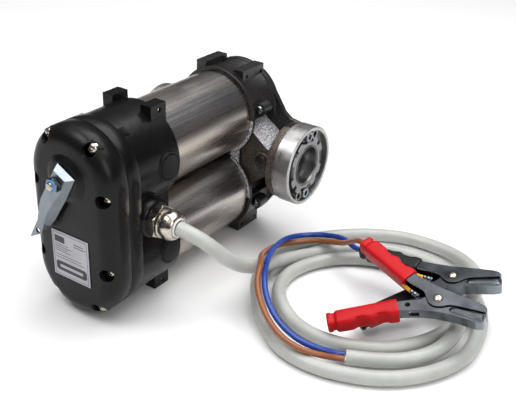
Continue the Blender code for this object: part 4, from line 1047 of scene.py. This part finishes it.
def fillet(outline, size, steps=4):
    """Rounds every corner of an outline with a short quadratic arc."""
    out = []
    n = len(outline)
    for i in range(n):
        a, p, b = (Vector(outline[(i + k) % n]) for k in (-1, 0, 1))
        u, v = a - p, b - p
        p0 = p + u.normalized() * min(size, 0.42 * u.length)
        p2 = p + v.normalized() * min(size, 0.42 * v.length)
        for k in range(steps + 1):
            t = k / steps
            q = (1 - t) ** 2 * p0 + 2 * t * (1 - t) * p + t * t * p2
            out.append((q.x, q.y))
    return out


def clamp_matrix(pivot, turn, roll, pitch):
    rot = (Matrix.Rotation(radians(roll), 4, "X") @ Matrix.Rotation(radians(pitch), 4, "Y")
           @ Matrix.Rotation(radians(turn), 4, "Z"))
    return Matrix.Translation(pivot) @ rot


# place along the handle, height of the scalloped side
SLEEVE_OUT = [(29.0, 6.6), (30.0, 7.5), (35.0, 7.5), (38.5, 5.7), (44.5, 5.7), (48.0, 7.5), (50.0, 7.5),
              (53.5, 5.7), (59.5, 5.7), (63.0, 7.5), (74.0, 7.5), (75.0, 6.0), (77.0, 6.0), (77.8, 6.9),
              (80.4, 6.9), (81.0, 6.2)]
# place along the handle, half width, height of the low side
SLEEVE_SIDES = [(29.0, 6.8, 6.3), (30.0, 7.2, 6.8), (74.0, 6.9, 5.9), (75.0, 5.6, 4.6), (77.0, 5.6, 4.6),
                (77.8, 6.1, 5.3), (80.4, 6.1, 5.3), (81.0, 5.5, 4.7)]
SLEEVE_STOPS = ([29.0, 29.4, 30.0] + [30.0 + 0.75 * k for k in range(1, 59)]
                + [74.6, 75.1, 76.0, 76.9, 77.4, 78.0, 79.0, 80.0, 80.7, 81.0])


def look_up(s, table, column=1):
    """A column's value at s, straight between the table's rows."""
    for one, two in zip(table, table[1:]):
        if s <= two[0]:
            return one[column] + (two[column] - one[column]) * (s - one[0]) / (two[0] - one[0])
    return table[-1][column]


def squared(value):
    """Draws a circle's coordinate out towards a rounded square."""
    return copysign(abs(value) ** 0.52, value)


def sleeve_ring(s, sign):
    """One ring of the sleeve: high on its scalloped outer side, low on the other."""
    top = look_up(s, SLEEVE_OUT)
    if 31 < s < 73:
        top = sum(look_up(min(81.0, max(29.0, s + d)), SLEEVE_OUT) for d in (-0.7, -0.35, 0, 0.35, 0.7)) / 5
    w, bottom = look_up(s, SLEEVE_SIDES, 1), look_up(s, SLEEVE_SIDES, 2)
    ring = []
    for k in range(32):
        a = 2 * pi * (k + 0.5) / 32
        c, q = squared(cos(a)), squared(sin(a))
        dip = 0.25 * (7.5 - top) * (1 - (q * q))
        u, v = handle_point(s, (top - dip * 0.6) * c if c > 0 else bottom * c)
        ring.append((u, sign * v, w * q))
    return ring


def sleeve(sign):
    """Soft grip over one handle: finger scallops on the outer side, a ringed end."""
    return skin([sleeve_ring(s, sign) for s in SLEEVE_STOPS])


SPINE = [handle_point(72, 4.3), handle_point(26, 4.3), (-10, 13)]
UNDERSIDE = [handle_point(25, -4.3), handle_point(72, -4.3)]
HOLLOW_SPINE = [handle_point(80, 3.3), handle_point(26, 3.3), (-10, 11.9)]
HOLLOW_UNDERSIDE = [(34.4, -20), (-31, -20), (-31, -6), handle_point(80, -20)]
UPPER_HALF = SPINE + [(0, 10), (18, 6.5), (31, 3.6), (34.5, 1.5), (35.5, -1), (35.5, -2.8), (14, -2.8),
                      (9, -3.5), (5, -6), (0, -7.5), (-5, -6), (-8, -2), (-11, 3), (-16, 5.5)] + UNDERSIDE
UPPER_HOLLOW = HOLLOW_SPINE + [(0, 8.9), (18, 5.4), (30.4, 2.7), (33.5, 0.9), (34.4, -1)] + HOLLOW_UNDERSIDE
LOWER_HALF = mirror(SPINE + [(0, 11), (15, 10.5), (30, 11.8), (34.5, 11), (35.5, 8.5), (35.5, 3.4), (14, 3.4),
                             (10, 2), (6, -4), (0, -7), (-5, -5), (-9, 0), (-13, 4), (-18, 5.8)] + UNDERSIDE)
LOWER_HOLLOW = mirror(HOLLOW_SPINE + [(0, 9.9), (15, 9.4), (30, 10.7), (33.8, 10.1), (34.4, 8.5)]
                      + HOLLOW_UNDERSIDE)
SLEEVE_POCKET = [handle_point(20, 4.7), handle_point(20, -4.7), handle_point(73, -4.7), handle_point(73, 4.7)]
LOWER_PAD = mirror([(10.5, 4.2), (17.0, 3.9), (33.4, 4.2), (34.4, 5.4), (34.4, 8.8), (33.4, 10.0), (30, 10.6),
                    (16, 9.2), (9.5, 7.6)])


def embossing(outline, w0, w1):
    """A soft raised field on a cheek: the outline at w0, drawn in and rounded towards w1."""
    edge = fillet(outline, 2.6, 6)
    cx = sum(p[0] for p in edge) / len(edge)
    cy = sum(p[1] for p in edge) / len(edge)
    loops = []
    for shrink, f in ((1.0, -0.4), (1.0, 0.0), (0.985, 0.3), (0.95, 0.62), (0.88, 0.86), (0.76, 0.97),
                      (0.6, 1.0)):
        w = w0 + (w1 - w0) * f
        loops.append([(cx + (u - cx) * shrink, cy + (v - cy) * (shrink ** 2.2), w) for u, v in edge])
    return skin(loops)


def tube_mesh(path, radius, sides=10):
    """Closed round tube through a path of points."""
    pts = [Vector(p) for p in path]
    turns = [2 * pi * k / sides for k in range(sides)]
    loops = []
    for i, p in enumerate(pts):
        d = (pts[min(i + 1, len(pts) - 1)] - pts[max(i - 1, 0)]).normalized()
        side = d.cross(Vector((0.13, 0.21, 1.0))).normalized()
        up = d.cross(side)
        loops.append([p + radius * (cos(a) * side + sin(a) * up) for a in turns])
    return skin(loops)


def clamp_half(tag, word, body, matrix):
    """One half of a clamp, folded from sheet, with its sleeve."""
    upper = word == "upper"
    if upper:
        outline, hollow, w = UPPER_HALF, UPPER_HOLLOW, UPPER_W
    else:
        outline, hollow, w = LOWER_HALF, LOWER_HOLLOW, LOWER_W
    steps = Steps()
    steps.cut(prism(fillet(hollow, 2.0), SHEET - w, w - SHEET, "z"))
    steps.cut(rod((0, 0, 0), 2.6, -20, 20, "z", 28))
    if not upper:
        for sw in SIDES:
            steps.add(embossing(LOWER_PAD, sw * w, sw * (w + 1.15)))
        gap = [(-17, -30), (-10, -30), (-10, -11), (-17, -11)]
        steps.cut(prism(fillet(gap, 1.0), -2.4, 2.4, "z"))
        hole = mirror([handle_point(22.0, 0.0)])[0]
        steps.cut(rod((*hole, 0), 1.9, -10, 10, "z", 28))
    sheet = combine(prism(fillet(outline, 2.2), -w, w, "z"), steps)
    clip = piece(f"clip_{word}_{tag}", moved(sheet, matrix), "zinc", body, [f"clamp_{word}_{tag}"],
                 smooth=35, bevel=0.22)
    # painted reflection: faces along the rivet get the dark copy of the zinc
    clip.data.materials.append(MATS["zinc_painted_dark"])
    side = matrix.to_3x3() @ Vector((0, 0, 1))
    for poly in clip.data.polygons:
        if abs(poly.normal.dot(side)) > 0.93:
            poly.material_index = PAINTED_DARK_SIDE
    pocket = SLEEVE_POCKET if upper else mirror(SLEEVE_POCKET)
    cover = bored(sleeve(1 if upper else -1), prism(pocket, -UPPER_W - 0.3, UPPER_W + 0.3, "z"))
    piece(f"grip_{word}_{tag}", moved(cover, matrix), tag, body, [f"clamp_sleeve_{word}_{tag}"],
          smooth=50)


def bare_wire(tag, matrix):
    """Bare strands from the sleeve's mouth to a crimped tag on the upper spine."""
    route = [(30.5, -5.6), (27.5, -6.1), (24.0, -6.3), (20.5, -6.0), (18.0, -5.6)]
    line = [(*handle_point(s, t), 0.0) for s, t in route]
    offsets = [polar(0.95, 2 * pi * k / 6) for k in range(6)]
    strands = [tube_mesh([(u + 0.5 * dv, v + dv, w + dw) for u, v, w in line], 0.62)
               for dv, dw in offsets + [(0.0, 0.0)]]
    piece(f"wire_tail_{tag}", moved(join(*strands), matrix), "tail")
    crimp = []
    for s0, r in ((19.6, 2.2), (16.4, 2.5)):
        barrel = [(0, -2.6), (r * 0.8, -2.4), (r, -1.4), (r * 0.86, 0), (r, 1.4), (r * 0.8, 2.4), (0, 2.6)]
        spot = Matrix.Translation((*handle_point(s0, -6.0), 0))
        turn = Matrix.Rotation(radians(151), 4, "Z")
        crimp.append(moved(lathe(barrel, (0, 0, 0), "x", 28), spot @ turn))
    piece(f"wire_crimp_{tag}", moved(join(*crimp), matrix), "zinc")


def clamp(tag, matrix):
    clamp_half(tag, "upper", "pump", matrix)
    clamp_half(tag, "lower", f"clamp_jaw_{tag}", matrix)
    half = [(3.3, 6.1), (3.2, 6.45), (2.7, 6.95), (1.6, 7.35), (0, 7.4)]
    head = [(r, -w) for r, w in reversed(half)] + [(2.2, -6.1), (2.2, 6.1)] + half
    rivet = bored(lathe(head, (0, 0, 0), "z", 36), rod((0, 0, 0), 0.9, 6.9, 8.0, "z", 20))
    piece(f"rivet_{tag}", moved(rivet, matrix), "nickel", "pump", [f"clamp_rivet_{tag}"])
    bare_wire(tag, matrix)


clamp("red", clamp_matrix((232.6, 28.0, 38.2), 8.0, 20.9, -2.3))
clamp("black", clamp_matrix((226.7, 71.2, 32.5), 26.5, 15.5, -5.0))


# ---- finishes of the CAD nodes that show as they are
CAD_FINISH = {"field_magnet": "magnet", "armature": "copper", "rear_bearing": "steel", "vane_rotor": "steel",
              "carbon_brush": "carbon", "bypass_spring": "steel", "bypass_poppet": "nickel"}
for name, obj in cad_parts.items():
    for start, mat in CAD_FINISH.items():
        if name.startswith(start):
            for s in obj.material_slots:
                s.material = MATS[mat]

# ---- floor and light
floor_bm = bmesh.new()
bmesh.ops.create_grid(floor_bm, x_segments=8, y_segments=8, size=6.0)
floor = new_object("floor", new_mesh("floor", floor_bm))
floor.location.z = -0.0004
pale = Mat("floor_pale", (0.86, 0.86, 0.86), rough=0.9, Specular_IOR_Level=0.1)
pale.colour(pale.mix(pale.span(pale.noise(3.0), 0.3, 0.7), (0.855, 0.855, 0.855), (0.87, 0.87, 0.87)))
floor.data.materials.append(pale.m)

world = bpy.data.worlds.new("studio")
bpy.context.scene.world = world
world.use_nodes = True
wt = world.node_tree
coord = wt.nodes.new("ShaderNodeTexCoord")
split = wt.nodes.new("ShaderNodeSeparateXYZ")
wt.links.new(coord.outputs["Generated"], split.inputs[0])
height = wt.nodes.new("ShaderNodeMapRange")
height.inputs["From Min"].default_value = -1.0
wt.links.new(split.outputs["Z"], height.inputs["Value"])
sky = colour_ramp(wt, height.outputs["Result"], [
    (0.0, (0.9, 0.9, 0.9)), (0.47, (0.85, 0.84, 0.83)), (0.52, (0.06, 0.055, 0.05)),
    (0.62, (0.09, 0.085, 0.082)), (0.80, (0.16, 0.16, 0.17)), (0.88, (1.0, 1.0, 1.0)),
    (1.0, (1.0, 1.0, 1.0))])
wt.links.new(sky, wt.nodes["Background"].inputs["Color"])
wt.nodes["Background"].inputs["Strength"].default_value = 1.0
bpy.context.scene.view_settings.view_transform = "Standard"


def softbox(name, spot, aim, size, power):
    light = bpy.data.lights.new(name, "AREA")
    light.shape = "RECTANGLE"
    light.size, light.size_y = size
    light.energy = power
    obj = new_object(name, light)
    obj.location = spot
    obj.rotation_euler = (Vector(aim) - Vector(spot)).to_track_quat("-Z", "Y").to_euler()


softbox("key", (-0.30, -0.60, 1.35), (0.0, 0.0, 0.05), (0.6, 0.5), 7)
softbox("top", (0.25, 0.35, 1.4), (0.1, 0.0, 0.0), (1.3, 1.0), 15)
softbox("side", (1.25, -0.55, 0.75), (0.05, 0.0, 0.07), (0.45, 0.8), 5)
